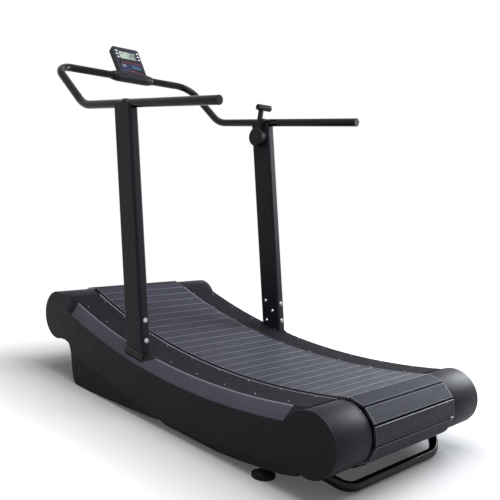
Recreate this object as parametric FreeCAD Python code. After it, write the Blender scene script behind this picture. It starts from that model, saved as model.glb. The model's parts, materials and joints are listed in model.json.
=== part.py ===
import FreeCAD, Part
import math
import os

V = FreeCAD.Vector

# Frame: +X to the runner's right, +Y forward, +Z up, millimetres, floor at Z = 0.

# ---- running path -------------------------------------------------------------------
REAR_AXLE_Y = -835.0
REAR_AXLE_Z = 190.0
AXLE_SPAN = 1499.2
FRONT_AXLE_Z = 272.0
BELT_RADIUS = 2880.0
DRUM_RADIUS = 102.0
SLAT_COUNT = 61
FIRST_SLAT = 0.215
BELT_LEAD = 6.0
SLAT_HALF_LENGTH = 240.0
SLAT_WIDTH = 59.0
SLAT_BASE = 2.5
TREAD_THICKNESS = 4.4
FOOT_HEIGHT = 2.6
FOOT_HALF_WIDTH = 8.0
TREAD_CHAMFER = 1.5
RIB_HALF_LENGTH = SLAT_HALF_LENGTH - 48.0
RIB_HEIGHT = 16.0
RIB_THICKNESS = 3.0
CARRIER_GAP = 0.4
CARRIER_THICKNESS = 4.6
CARRIER_X = SLAT_HALF_LENGTH - 22.0
CARRIER_WIDTH = 26.0
BELT_SIDE_GAP = 6.0
PLATE_X = SLAT_HALF_LENGTH + BELT_SIDE_GAP

# ---- drums, shafts, rollers ---------------------------------------------------------
PULLEY_GAP = 0.4
PULLEY_WIDTH = 30.0
DRUM_TUBE_R = 30.0
SHAFT_R = 15.0
SHAFT_HALF_LENGTH = PLATE_X + 44.0
BRAKE_SHAFT_END = PLATE_X + 68.0
BEARING_CLEARANCE = 0.05
ROLLER_R = 16.0
ROLLER_WIDTH = 14.0
ROLLERS_PER_SIDE = 15
FIRST_ROLLER = 90.0
STUD_R = 5.0

# ---- side plates, foot rails, trims -------------------------------------------------
PLATE_THICKNESS = 5.0
PLATE_END_R = 95.0
RAIL_DROP = 6.0
RAIL_THICKNESS = 3.0
RAIL_WIDTH = 145.0
RAIL_OUTER_X = PLATE_X + RAIL_WIDTH
LEDGE_THICKNESS = 3.0
LEDGE_OUTER_X = RAIL_OUTER_X - 5.0
LEDGE_INNER_X = LEDGE_OUTER_X - 34.0
TRIM_DROP = 44.0
TRIM_THICKNESS = 3.0
TRIM_WIDTH = 37.0
SIDE_X = RAIL_OUTER_X + TRIM_WIDTH
COVER_THICKNESS = 3.0
COVER_FLANGE = 8.0
SKIRT_SETBACK = 0.5
CAP_WALL = 3.0
SCREW_R = 3.2
SCREWS_PER_ROW = 9
SCREW_FROM_PLATE = 18.0
SCREW_FROM_EDGE = 25.0
INNER_SCREW_START = 100.0
OUTER_SCREW_START = 130.0

# ---- base frame ---------------------------------------------------------------------
BEAM_X = RAIL_OUTER_X - 19.0
BEAM_WIDTH = 40.0
BEAM_Z = 28.0
BEAM_HEIGHT = 40.0
BEAM_WALL = 3.0
BEAM_FRONT_Y = 460.0
BEAM_KINK_Y = -470.0
BEAM_RISE_Y = -720.0
BEAM_RISE = 29.0
BEAM_REAR_Y = -788.0
BEAM_REAR_HEIGHT = 24.0
KEEL_DEPTH = 11.5
KEEL_FRONT_Y = -80.0
KEEL_SLOPE = 50.0
KEEL_REAR_Y = -425.0
KEEL_BEND_Y = -540.0
KEEL_BEND_RISE = 9.5
KEEL_TAIL_RISE = 33.5
CROSS_WIDTH = 50.0
REAR_CROSS_Y = -680.0
REAR_CROSS_Z = 50.5
REAR_CROSS_HEIGHT = 28.0
CROSS_YS = (-220.0, 320.0)
GUSSET_YS = (-580.0, -350.0, -10.0, 210.0)
GUSSETS_BEHIND_FRONT_AXLE = (284.2, 214.2)
GUSSET_THICKNESS = 6.0
COVER_TABS = ((-620.0, 80.0), (-320.0, 62.0), (-40.0, 62.0), (410.0, 62.0))
FOOT_X = BEAM_X + 15.0
REAR_FOOT_Y = -625.0
FRONT_FOOT_Y = 290.0
FOOT_STUD_R = 6.0
REAR_PAD_R = 40.0
FRONT_PAD_R = 26.0
WHEEL_Y = 416.0
WHEEL_R = 32.0
WHEEL_LIFT = 5.0
WHEEL_X = BEAM_X - 34.0
WHEEL_WIDTH = 26.0
AXLE_R = 5.0
HANDLE_R = 17.5
HANDLE_WALL = 2.5
HANDLE_HALF_WIDTH = 262.0
HANDLE_REAR_Y = -879.0
HANDLE_Z = 20.0
HANDLE_BEND = 100.0
HANDLE_KNEE_X = BEAM_X - 48.0
HANDLE_KNEE_Y = -818.0
HANDLE_KNEE_BEND = 50.0

# ---- uprights and handrail ----------------------------------------------------------
POST_X = RAIL_OUTER_X
POST_LEAN = 11.0
POST_Y = 93.7
POST_Z = 260.0
POST_DEPTH = 108.0
POST_WIDTH = 43.0
POST_WALL = 2.5
POST_CORNER = 10.0
POST_BOTTOM = -62.0
STUB_TOP = 175.0
STUB_WALL = 3.0
BOLT_R = 4.0
BOLT_HEAD_R = 8.0
RAIL_R = 17.5
RAIL_WALL = 2.5
PLUG_LENGTH = 5.0
CLAMP_LENGTH = 28.0
CLAMP_WALL = 2.5
HANDRAIL_REAR_Y = -275.0
HANDRAIL_REAR_Z = 1222.0
HANDRAIL_BEND_Y = 588.0
HANDRAIL_BEND_Z = 1207.3
HANDRAIL_TOP_Y = 847.0
HANDRAIL_TOP_Z = 1386.0
SIDE_BEND = 150.0
TOP_BEND = 80.0

# ---- console ------------------------------------------------------------------------
CONSOLE_X = 26.5
CONSOLE_REACH = 27.0
CONSOLE_TILT = 36.4
CONSOLE_FRONT = 14.0
CONSOLE_DEPTH = 35.0
CONSOLE_BOTTOM_U = -6.0
CONSOLE_TOP_U = 168.0
CONSOLE_HALF_BOTTOM = 77.0
CONSOLE_HALF_TOP = 80.0
SADDLE_R = 25.5
SADDLE_HALF_LENGTH = 117.0
LCD_HALF_WIDTH = 47.0
LCD_U = 96.0
LCD_HEIGHT = 44.0
LABEL_HALF_WIDTH = 66.0
LABEL_U = 8.0
LABEL_HEIGHT = 78.0
BUTTON_X = 62.0
BUTTON_US = (139.0, 119.5, 100.0)
BUTTON_LENGTH = 14.0
BUTTON_HEIGHT = 8.0
BUTTON_PROUD = 2.5
BUTTON_CLEARANCE = 0.35

# ---- resistance lever and brake -----------------------------------------------------
LEVER_Y = 263.0
LEVER_Z = 1142.0
LEVER_HOUSING_R = 43.0
LEVER_HOUSING_DEPTH = 35.0
LEVER_X = POST_X - 41.0
LEVER_THICKNESS = 12.0
LEVER_HUB_R = 24.0
LEVER_WIDTH = 24.0
LEVER_REACH = 138.0
LEVER_REST = 5.0
LEVER_BACK = 35.0
LEVER_FORWARD = 25.0
LEVER_CLEARANCE = 0.4
GRIP_X = POST_X - 25.0
GRIP_LENGTH = 83.0
GRIP_R = 14.5
BRAKE_DISC_R = 75.0
BRAKE_DISC_X = PLATE_X + 54.0
BRAKE_DISC_THICKNESS = 6.0
MAGNET_PIVOT_R = 88.0
MAGNET_PIVOT_ANGLE = 200.0
MAGNET_X = BRAKE_DISC_X + BRAKE_DISC_THICKNESS + 3.0
CABLE_LOW_Z = 130.0
CABLE_DROP = 28.0
CABLE_R = 2.5

# ---- derived path geometry ----------------------------------------------------------
FRONT_AXLE_Y = REAR_AXLE_Y + AXLE_SPAN
SLOPE = math.atan2(FRONT_AXLE_Z - REAR_AXLE_Z, AXLE_SPAN)
BOTTOM_LENGTH = math.hypot(AXLE_SPAN, FRONT_AXLE_Z - REAR_AXLE_Z)
REACH = BELT_RADIUS + DRUM_RADIUS
RISE = math.sqrt(REACH ** 2 - (BOTTOM_LENGTH / 2) ** 2)
CENTRE_Y = (REAR_AXLE_Y + FRONT_AXLE_Y) / 2 - RISE * math.sin(SLOPE)
CENTRE_Z = (REAR_AXLE_Z + FRONT_AXLE_Z) / 2 + RISE * math.cos(SLOPE)
REAR_ANGLE = math.atan2(CENTRE_Z - REAR_AXLE_Z, CENTRE_Y - REAR_AXLE_Y)
FRONT_ANGLE = math.atan2(CENTRE_Z - FRONT_AXLE_Z, CENTRE_Y - FRONT_AXLE_Y)
BOTTOM_ANGLE = SLOPE - math.pi / 2
TOP_LENGTH = BELT_RADIUS * (FRONT_ANGLE - REAR_ANGLE)
FRONT_LENGTH = DRUM_RADIUS * (FRONT_ANGLE - BOTTOM_ANGLE)
REAR_LENGTH = DRUM_RADIUS * (BOTTOM_ANGLE + 2 * math.pi - REAR_ANGLE)
PITCH = (TOP_LENGTH + FRONT_LENGTH + BOTTOM_LENGTH + REAR_LENGTH) / SLAT_COUNT
SURFACE_RADIUS = BELT_RADIUS - FOOT_HEIGHT - SLAT_BASE - TREAD_THICKNESS
RAIL_TOP_R = SURFACE_RADIUS + RAIL_DROP
RAIL_LOW_R = RAIL_TOP_R + RAIL_THICKNESS
CAP_R = REACH - RAIL_TOP_R
PULLEY_R = DRUM_RADIUS - CARRIER_GAP - CARRIER_THICKNESS - PULLEY_GAP
PLATE_OUT_X = PLATE_X + PLATE_THICKNESS
TRIM_LOW_R = RAIL_TOP_R + TRIM_DROP
COVER_TOP_R = TRIM_LOW_R + TRIM_THICKNESS
COVER_IN_X = SIDE_X - COVER_THICKNESS
LEAN = math.radians(POST_LEAN)
BEAM_TOP = BEAM_Z + BEAM_HEIGHT
RAIL_AXIS = V(0, HANDRAIL_BEND_Y - HANDRAIL_REAR_Y, HANDRAIL_BEND_Z - HANDRAIL_REAR_Z)
RAIL_SLOPE = RAIL_AXIS.z / RAIL_AXIS.y
RAIL_AXIS.normalize()


# ---- general helpers ----------------------------------------------------------------
def box(x0, x1, y0, y1, z0, z1):
    return Part.makeBox(x1 - x0, y1 - y0, z1 - z0, V(x0, y0, z0))


def cyl_x(x0, x1, y, z, r):
    return Part.makeCylinder(r, x1 - x0, V(x0, y, z), V(1, 0, 0))


def cyl_z(x, y, z0, z1, r):
    return Part.makeCylinder(r, z1 - z0, V(x, y, z0), V(0, 0, 1))


def prism(points, x0, x1):
    outline = [V(x0, y, z) for y, z in points]
    face = Part.Face(Part.makePolygon(outline + outline[:1]))
    return face.extrude(V(x1 - x0, 0, 0))


def join(shapes):
    result = shapes[0].fuse(shapes[1:])
    return result.removeSplitter()


def mirrored(shape):
    return shape.mirror(V(0, 0, 0), V(1, 0, 0))


def both_sides(shapes):
    return Part.makeCompound(shapes + [mirrored(s) for s in shapes])


def save(name, shape):
    shape.exportStep("parts/" + name + ".step")


def save_pair(name, right_shape):
    save(name + "_right", right_shape)
    save(name + "_left", mirrored(right_shape))


def polar(y, z, radius, angle):
    return y + radius * math.cos(angle), z + radius * math.sin(angle)


def arc_band(section, s0, s1):
    """Sweep an (x, radius) section about the running-curve centre from s0 to s1."""
    start = REAR_ANGLE + math.pi + s0 / BELT_RADIUS
    turn = math.degrees((s1 - s0) / BELT_RADIUS)
    points = []
    for x, radius in section:
        y, z = polar(CENTRE_Y, CENTRE_Z, radius, start)
        points.append(V(x, y, z))
    face = Part.Face(Part.makePolygon(points + points[:1]))
    return face.revolve(V(0, CENTRE_Y, CENTRE_Z), V(1, 0, 0), turn)


def flat_section(x0, x1, r0, r1):
    return [(x0, r0), (x1, r0), (x1, r1), (x0, r1)]


def inside_curve(x0, x1, radius):
    return cyl_x(x0, x1, CENTRE_Y, CENTRE_Z, radius)


def curve_point(s, radius):
    return polar(CENTRE_Y, CENTRE_Z, radius, REAR_ANGLE + math.pi + s / BELT_RADIUS)


def rod(points, bends, radius):
    """Round bar through the points, with a bend of the given radius at each corner."""
    pieces = []
    last = points[0]
    for i, bend in enumerate(bends, start=1):
        corner = points[i]
        back = (points[i - 1] - corner).normalize()
        ahead = (points[i + 1] - corner).normalize()
        half = back.getAngle(ahead) / 2
        start = corner + back * (bend / math.tan(half))
        centre = corner + (back + ahead).normalize() * (bend / math.sin(half))
        ring = Part.Face(Part.Wire(Part.makeCircle(radius, start, back)))
        axis = ahead.cross(back)
        pieces.append(ring.revolve(centre, axis, 180 - math.degrees(2 * half)))
        pieces.append(Part.makeCylinder(radius, (start - last).Length, last, start - last))
        last = corner + ahead * (bend / math.tan(half))
    end = points[-1] - last
    pieces.append(Part.makeCylinder(radius, end.Length, last, end))
    return join(pieces)


def leaning(shape, x=POST_X):
    """Place a shape modelled upright at the origin onto the leaning post axis."""
    shape.rotate(V(0, 0, 0), V(1, 0, 0), -POST_LEAN)
    shape.translate(V(x, POST_Y, POST_Z))
    return shape


# ---- slat belt ----------------------------------------------------------------------
def run_at(s):
    """Name of the run at length s round the belt loop, and the length into that run."""
    for name, length in (("top", TOP_LENGTH), ("front", FRONT_LENGTH),
                         ("return", BOTTOM_LENGTH)):
        if s <= length:
            return name, s
        s -= length
    return "rear", s


def path_frame(run, s):
    """Point (y, z) and outward normal angle at length s along a run's own line."""
    if run == "top":
        angle = REAR_ANGLE + s / BELT_RADIUS
        return polar(CENTRE_Y, CENTRE_Z, BELT_RADIUS, angle + math.pi) + (angle,)
    if run == "front":
        angle = FRONT_ANGLE - s / DRUM_RADIUS
        return polar(FRONT_AXLE_Y, FRONT_AXLE_Z, DRUM_RADIUS, angle) + (angle,)
    if run == "return":
        y, z = polar(FRONT_AXLE_Y, FRONT_AXLE_Z, DRUM_RADIUS, BOTTOM_ANGLE)
        return polar(y, z, -s, SLOPE) + (BOTTOM_ANGLE,)
    angle = BOTTOM_ANGLE - s / DRUM_RADIUS
    return polar(REAR_AXLE_Y, REAR_AXLE_Z, DRUM_RADIUS, angle) + (angle,)


def slat_base():
    half = SLAT_WIDTH / 2
    low = FOOT_HEIGHT
    plate = box(-SLAT_HALF_LENGTH, SLAT_HALF_LENGTH, -half, half, low, low + SLAT_BASE)
    rib = box(-RIB_HALF_LENGTH, RIB_HALF_LENGTH, -RIB_THICKNESS / 2, RIB_THICKNESS / 2,
              -RIB_HEIGHT, low)
    foot = box(CARRIER_X - PULLEY_WIDTH / 2, CARRIER_X + PULLEY_WIDTH / 2,
               -FOOT_HALF_WIDTH, FOOT_HALF_WIDTH, 0, low)
    return join([plate, rib, foot, mirrored(foot)])


def slat_tread():
    half = SLAT_WIDTH / 2
    low = FOOT_HEIGHT + SLAT_BASE
    high = low + TREAD_THICKNESS
    edge = TREAD_CHAMFER
    outline = [(-half, low), (half, low), (half, high - edge), (half - edge, high),
               (-half + edge, high), (-half, high - edge)]
    return prism(outline, -SLAT_HALF_LENGTH, SLAT_HALF_LENGTH)


def slat_belt():
    runs = {}
    for i in range(SLAT_COUNT):
        run, s = run_at((FIRST_SLAT + i) * PITCH)
        y, z, angle = path_frame(run, s + BELT_LEAD)
        turn = math.degrees(angle) - 90
        for kind, piece in (("slats", slat_base()), ("treads", slat_tread())):
            piece.rotate(V(0, 0, 0), V(1, 0, 0), turn)
            piece.translate(V(0, y, z))
            runs.setdefault(run + "_" + kind, []).append(piece)
    for name, pieces in runs.items():
        save(name, Part.makeCompound(pieces))


def loop_face(x, inset):
    """Closed belt-path outline moved inwards by inset, as a face at x."""
    radius = DRUM_RADIUS - inset
    rear = [V(x, *polar(REAR_AXLE_Y, REAR_AXLE_Z, radius, a))
            for a in (REAR_ANGLE, REAR_ANGLE + REAR_LENGTH / DRUM_RADIUS / 2,
                      REAR_ANGLE + REAR_LENGTH / DRUM_RADIUS)]
    front = [V(x, *polar(FRONT_AXLE_Y, FRONT_AXLE_Z, radius, a))
             for a in (BOTTOM_ANGLE, BOTTOM_ANGLE + FRONT_LENGTH / DRUM_RADIUS / 2,
                       FRONT_ANGLE)]
    middle = V(x, *curve_point(TOP_LENGTH / 2, BELT_RADIUS + inset))
    edges = [Part.Arc(*rear).toShape(),
             Part.LineSegment(rear[2], front[0]).toShape(),
             Part.Arc(*front).toShape(),
             Part.Arc(front[2], middle, rear[0]).toShape()]
    return Part.Face(Part.Wire(edges))


def carrier_belts():
    x0 = CARRIER_X - CARRIER_WIDTH / 2
    outer = loop_face(x0, CARRIER_GAP).extrude(V(CARRIER_WIDTH, 0, 0))
    inner = loop_face(x0 - 1, CARRIER_GAP + CARRIER_THICKNESS)
    belt = outer.cut(inner.extrude(V(CARRIER_WIDTH + 2, 0, 0)))
    save("carrier_belts", both_sides([belt]))


# ---- drums, shafts, bearings, rollers -----------------------------------------------
def drum(y, z):
    x0 = CARRIER_X - PULLEY_WIDTH / 2
    x1 = CARRIER_X + PULLEY_WIDTH / 2
    rim = cyl_x(x0, x1, y, z, PULLEY_R).cut(cyl_x(x0, x1, y, z, PULLEY_R - 8))
    web = cyl_x(x0 + 10, x1 - 10, y, z, PULLEY_R - 4)
    for i in range(6):
        hole_y, hole_z = polar(y, z, 58, math.radians(60 * i))
        web = web.cut(cyl_x(x0, x1, hole_y, hole_z, 16))
    tube = cyl_x(-x1, x1, y, z, DRUM_TUBE_R)
    solid = join([tube, rim, web, mirrored(rim), mirrored(web)])
    return solid.cut(cyl_x(-x1 - 1, x1 + 1, y, z, SHAFT_R))


def bearing_unit(y, z):
    flange = cyl_x(PLATE_OUT_X, PLATE_OUT_X + 10, y, z, 42)
    boss = cyl_x(PLATE_OUT_X, PLATE_OUT_X + 28, y, z, 29)
    bore = cyl_x(PLATE_X, PLATE_OUT_X + 40, y, z, SHAFT_R + BEARING_CLEARANCE)
    return join([flange, boss]).cut(bore)


def drums():
    save("rear_drum", drum(REAR_AXLE_Y, REAR_AXLE_Z))
    save("front_drum", drum(FRONT_AXLE_Y, FRONT_AXLE_Z))
    save("rear_shaft", cyl_x(-SHAFT_HALF_LENGTH, SHAFT_HALF_LENGTH,
                             REAR_AXLE_Y, REAR_AXLE_Z, SHAFT_R))
    save("front_shaft", cyl_x(-SHAFT_HALF_LENGTH, BRAKE_SHAFT_END,
                              FRONT_AXLE_Y, FRONT_AXLE_Z, SHAFT_R))
    save("drum_bearings", both_sides([bearing_unit(REAR_AXLE_Y, REAR_AXLE_Z),
                                      bearing_unit(FRONT_AXLE_Y, FRONT_AXLE_Z)]))


def roller_centres():
    radius = BELT_RADIUS + CARRIER_GAP + CARRIER_THICKNESS + ROLLER_R
    step = (TOP_LENGTH - 2 * FIRST_ROLLER) / (ROLLERS_PER_SIDE - 1)
    return [curve_point(FIRST_ROLLER + i * step, radius) for i in range(ROLLERS_PER_SIDE)]


def support_rollers():
    rollers = []
    x0 = CARRIER_X - ROLLER_WIDTH / 2
    for y, z in roller_centres():
        wheel = cyl_x(x0, x0 + ROLLER_WIDTH, y, z, ROLLER_R)
        stud = cyl_x(x0, PLATE_OUT_X, y, z, STUD_R)
        collar = cyl_x(x0 + ROLLER_WIDTH, PLATE_X, y, z, STUD_R + 3)
        rollers.append(join([wheel, stud, collar]))
    save("support_rollers", both_sides(rollers))


def magnet_pivot():
    return polar(FRONT_AXLE_Y, FRONT_AXLE_Z, MAGNET_PIVOT_R,
                 math.radians(MAGNET_PIVOT_ANGLE))


def side_plate():
    rear_low = polar(REAR_AXLE_Y, REAR_AXLE_Z, PLATE_END_R, BOTTOM_ANGLE)
    front_low = polar(FRONT_AXLE_Y, FRONT_AXLE_Z, PLATE_END_R, BOTTOM_ANGLE)
    front_high = polar(FRONT_AXLE_Y, FRONT_AXLE_Z, 2 * DRUM_RADIUS, FRONT_ANGLE)
    rear_high = polar(REAR_AXLE_Y, REAR_AXLE_Z, 2 * DRUM_RADIUS, REAR_ANGLE)
    body = prism([rear_low, front_low, front_high, rear_high], PLATE_X, PLATE_OUT_X)
    body = body.cut(inside_curve(PLATE_X - 1, PLATE_OUT_X + 1, RAIL_LOW_R))
    ends = [cyl_x(PLATE_X, PLATE_OUT_X, REAR_AXLE_Y, REAR_AXLE_Z, PLATE_END_R),
            cyl_x(PLATE_X, PLATE_OUT_X, FRONT_AXLE_Y, FRONT_AXLE_Z, PLATE_END_R)]
    flange = arc_band(flat_section(PLATE_OUT_X - 1, PLATE_OUT_X + 26, RAIL_LOW_R,
                                   RAIL_LOW_R + LEDGE_THICKNESS), 75, TOP_LENGTH - 75)
    plate = join([body, flange] + ends)
    for y, z in ((REAR_AXLE_Y, REAR_AXLE_Z), (FRONT_AXLE_Y, FRONT_AXLE_Z)):
        plate = plate.cut(cyl_x(PLATE_X - 1, PLATE_OUT_X + 1, y, z, 26))
    for y, z in roller_centres():
        plate = plate.cut(cyl_x(PLATE_X - 1, PLATE_OUT_X + 1, y, z, STUD_R))
    return plate


def side_plates():
    plate = side_plate()
    for x, y, z in screw_places()[0]:
        plate = plate.cut(screw_hole(x, y, z))
    pin_y, pin_z = magnet_pivot()
    pin = cyl_x(PLATE_X, MAGNET_X + 14, pin_y, pin_z, STUD_R)
    save("side_plates", Part.makeCompound([mirrored(plate), join([plate, pin])]))


# ---- foot rails, trims, caps, covers ------------------------------------------------
def screw_places():
    rows = []
    for x, first in ((PLATE_X + SCREW_FROM_PLATE, INNER_SCREW_START),
                     (RAIL_OUTER_X - SCREW_FROM_EDGE, OUTER_SCREW_START)):
        step = (TOP_LENGTH - 2 * first) / (SCREWS_PER_ROW - 1)
        rows.append([(x,) + curve_point(first + i * step, RAIL_TOP_R)
                     for i in range(SCREWS_PER_ROW)])
    return rows


def screw_axis(y, z):
    return V(0, CENTRE_Y - y, CENTRE_Z - z).normalize()


def screw_hole(x, y, z):
    up = screw_axis(y, z)
    return Part.makeCylinder(SCREW_R / 2, 12, V(x, y, z) - up * 10, up)


def screw(x, y, z):
    up = screw_axis(y, z)
    head = Part.makeCylinder(SCREW_R, 1.6, V(x, y, z), up)
    head = head.makeChamfer(0.7, [e for e in head.Edges if abs(e.CenterOfMass.sub(
        V(x, y, z) + up * 1.6).Length) < 0.1])
    shank = Part.makeCylinder(SCREW_R / 2, 7.9, V(x, y, z) - up * 7.9, up)
    return join([head, shank])


def post_notch(grow_y, grow_x):
    """Room for the upright through the foot rail and the trim."""
    half_y = POST_DEPTH / 2 + grow_y
    notch = box(-POST_WIDTH / 2 - 1, POST_WIDTH / 2 + grow_x, -half_y, half_y, -260, 200)
    return leaning(notch)


def foot_rails():
    rail = arc_band(flat_section(PLATE_X, RAIL_OUTER_X, RAIL_TOP_R, RAIL_LOW_R),
                    26, TOP_LENGTH - 26)
    rail = rail.cut(post_notch(1, 1))
    for row in screw_places():
        for x, y, z in row:
            rail = rail.cut(screw_hole(x, y, z))
    save_pair("foot_rail", rail)
    screws = [screw(x, y, z) for row in screw_places() for x, y, z in row]
    save("foot_rail_screws", both_sides(screws))


def trim_band(s0, s1):
    section = [(RAIL_OUTER_X, RAIL_TOP_R), (SIDE_X, TRIM_LOW_R), (SIDE_X, COVER_TOP_R),
               (COVER_IN_X, COVER_TOP_R), (RAIL_OUTER_X, RAIL_TOP_R + 4)]
    return arc_band(section, s0, s1)


def trim_end(s_high, s_low, reach, gap):
    """Block from a slanted line across the trim out to reach, beyond one end."""
    high = curve_point(s_high + gap, RAIL_TOP_R - 60)
    low = curve_point(s_low + gap, TRIM_LOW_R + 60)
    far_low = curve_point(reach, TRIM_LOW_R + 60)
    far_high = curve_point(reach, RAIL_TOP_R - 60)
    return prism([high, low, far_low, far_high], RAIL_OUTER_X - 5, SIDE_X + 5)


def trims():
    trim = trim_band(30, TOP_LENGTH - 20)
    trim = trim.cut(trim_end(62, 118, -90, 0.6))
    trim = trim.cut(trim_end(TOP_LENGTH - 60, TOP_LENGTH - 128, TOP_LENGTH + 90, -0.6))
    trim = trim.cut(post_notch(3, 6))
    save("edge_trims", both_sides([trim]))


def end_cap(y, z, shoulder):
    outer = cyl_x(PLATE_OUT_X, COVER_IN_X, y, z, CAP_R)
    hollow = cyl_x(PLATE_OUT_X + CAP_WALL, COVER_IN_X + 1, y, z, CAP_R - CAP_WALL)
    mouth = cyl_x(PLATE_OUT_X - 1, PLATE_OUT_X + CAP_WALL + 1, y, z, PLATE_END_R)
    shell = outer.cut(hollow).cut(mouth)
    lap = arc_band(flat_section(PLATE_X - 1, RAIL_OUTER_X, RAIL_TOP_R - 8, RAIL_LOW_R),
                   26, TOP_LENGTH - 26)
    room = cyl_x(RAIL_OUTER_X - 5, SIDE_X + 5, y, z, CAP_R - CAP_WALL)
    shoulder = shoulder.cut(room).cut(box(COVER_IN_X, SIDE_X + 5, y - 400, y + 400, 0, 900))
    return join([shell.cut(lap), shoulder])


def caps():
    band = trim_band(4, TOP_LENGTH - 4)
    rear = band.common(trim_end(62, 118, -90, 0))
    front = band.common(trim_end(TOP_LENGTH - 60, TOP_LENGTH - 128, TOP_LENGTH + 90, 0))
    save_pair("rear_cap", end_cap(REAR_AXLE_Y, REAR_AXLE_Z, rear))
    cap = end_cap(FRONT_AXLE_Y, FRONT_AXLE_Z, front)
    save("front_cap_left", mirrored(cap))
    save("front_cap_right", cap.cut(brake_cable_shape()))


def cover_outline(x0, x1, inset):
    """Side panel outline between x0 and x1, drawn inset from its own edge."""
    end_r = CAP_R - inset
    low = [(-790 - inset, 102 + inset), (-660, 77 + inset), (-480, 51 + inset),
           (-340, 36 + inset), (-100, 34 + inset), (533 - inset, 126 + inset),
           (540 - inset, 144 + inset),
           (556 - inset, 168 + inset), (586, 175.5 + inset), (628.5, 173.8 + inset)]
    high = [(FRONT_AXLE_Y, FRONT_AXLE_Z), (FRONT_AXLE_Y, 500), (REAR_AXLE_Y, 500),
            (REAR_AXLE_Y, REAR_AXLE_Z)]
    body = prism(low + high, x0, x1)
    body = body.cut(inside_curve(x0 - 1, x1 + 1, COVER_TOP_R + inset))
    rear = cyl_x(x0, x1, REAR_AXLE_Y, REAR_AXLE_Z, end_r)
    front = cyl_x(x0, x1, FRONT_AXLE_Y, FRONT_AXLE_Z, end_r)
    return join([body, rear, front])


def side_covers():
    rear_zone = cyl_x(0, COVER_IN_X, REAR_AXLE_Y, REAR_AXLE_Z, CAP_R)
    front_zone = cyl_x(0, COVER_IN_X, FRONT_AXLE_Y, FRONT_AXLE_Z, CAP_R)
    panel = cover_outline(COVER_IN_X, SIDE_X, 0)
    rim = cover_outline(COVER_IN_X - COVER_FLANGE, COVER_IN_X, 0)
    rim = rim.cut(cover_outline(COVER_IN_X - COVER_FLANGE - 1, COVER_IN_X + 1, 2.5))
    rim = rim.cut(rear_zone).cut(front_zone)
    rim = rim.cut(trim_band(4, TOP_LENGTH - 4))
    cover = join([panel, rim]).cut(post_notch(3, 6))
    save_pair("side_cover", cover)


def front_skirts():
    outline = [(533, 125), (525, 86), (515, 50), (503, 21), (488, 6), (468, 2.2),
               (380, 2.5), (289, 5.5), (75, 17), (-100, 29.5), (-100, 33.5)]
    panel = prism(outline, COVER_IN_X, SIDE_X - SKIRT_SETBACK)
    x0 = COVER_IN_X - COVER_FLANGE
    rim = prism(outline, x0, COVER_IN_X)
    flat = [f for f in rim.Faces if abs(f.CenterOfMass.x - x0) < 0.01][0]
    inside = flat.makeOffset2D(-COVER_THICKNESS).extrude(V(COVER_FLANGE, 0, 0))
    skirt = join([panel, rim.cut(inside)]).cut(cover_outline(x0 - 1, SIDE_X + 1, 0))
    save("front_skirts", both_sides([skirt]))


# ---- base frame ---------------------------------------------------------------------
def beam_block(wall, past):
    """Side beam's bar with its deeper keel, inset by a wall and run past its ends."""
    low = BEAM_Z + wall
    keel = low - KEEL_DEPTH
    top = BEAM_TOP - wall
    front = BEAM_FRONT_Y + past
    rear = BEAM_REAR_Y - past
    rear_top = BEAM_TOP + BEAM_REAR_HEIGHT - wall
    rear_low = rear_top - BEAM_REAR_HEIGHT + wall * 2
    outline = [(front, low), (KEEL_FRONT_Y, low), (KEEL_FRONT_Y - KEEL_SLOPE, keel),
               (KEEL_REAR_Y, keel), (KEEL_BEND_Y, keel + KEEL_BEND_RISE),
               (BEAM_RISE_Y, keel + KEEL_TAIL_RISE), (rear, rear_low), (rear, rear_top),
               (BEAM_RISE_Y, top + BEAM_RISE), (BEAM_KINK_Y, top), (front, top)]
    return prism(outline, BEAM_X + wall, BEAM_X + BEAM_WIDTH - wall)


def cross_tube(y, z0, height):
    w = BEAM_WALL
    z1 = z0 + height
    tube = box(-BEAM_X, BEAM_X, y - CROSS_WIDTH / 2, y + CROSS_WIDTH / 2, z0, z1)
    inside = box(-BEAM_X + 0.5, BEAM_X - 0.5, y - CROSS_WIDTH / 2 + w,
                 y + CROSS_WIDTH / 2 - w, z0 + w, z1 - w)
    drain = cyl_z(200, y, z0 - 1, z0 + w + 1, 6)
    return tube.cut(inside).cut(drain)


def gusset(y):
    half = GUSSET_THICKNESS / 2
    plate = box(PLATE_OUT_X, LEDGE_OUTER_X, y - half, y + half, BEAM_TOP - 2, 480)
    plate = plate.cut(inside_curve(0, SIDE_X, RAIL_LOW_R + LEDGE_THICKNESS))
    plate = plate.cut(beam_block(0, 0))
    for row in screw_places():
        for place in row:
            if abs(place[1] - y) < GUSSET_THICKNESS + SCREW_R:
                plate = plate.cut(screw_hole(*place))
    return plate


def frame_gussets():
    front = tuple(FRONT_AXLE_Y - back for back in GUSSETS_BEHIND_FRONT_AXLE)
    save("frame_gussets", both_sides([gusset(y) for y in GUSSET_YS + front]))


def rail_ledges():
    ledge = arc_band(flat_section(LEDGE_INNER_X, LEDGE_OUTER_X, RAIL_LOW_R,
                                  RAIL_LOW_R + LEDGE_THICKNESS), 90, TOP_LENGTH - 90)
    ledge = ledge.cut(post_notch(1, 1))
    for row in screw_places():
        for place in row:
            ledge = ledge.cut(screw_hole(*place))
    save("rail_ledges", both_sides([ledge]))


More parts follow.
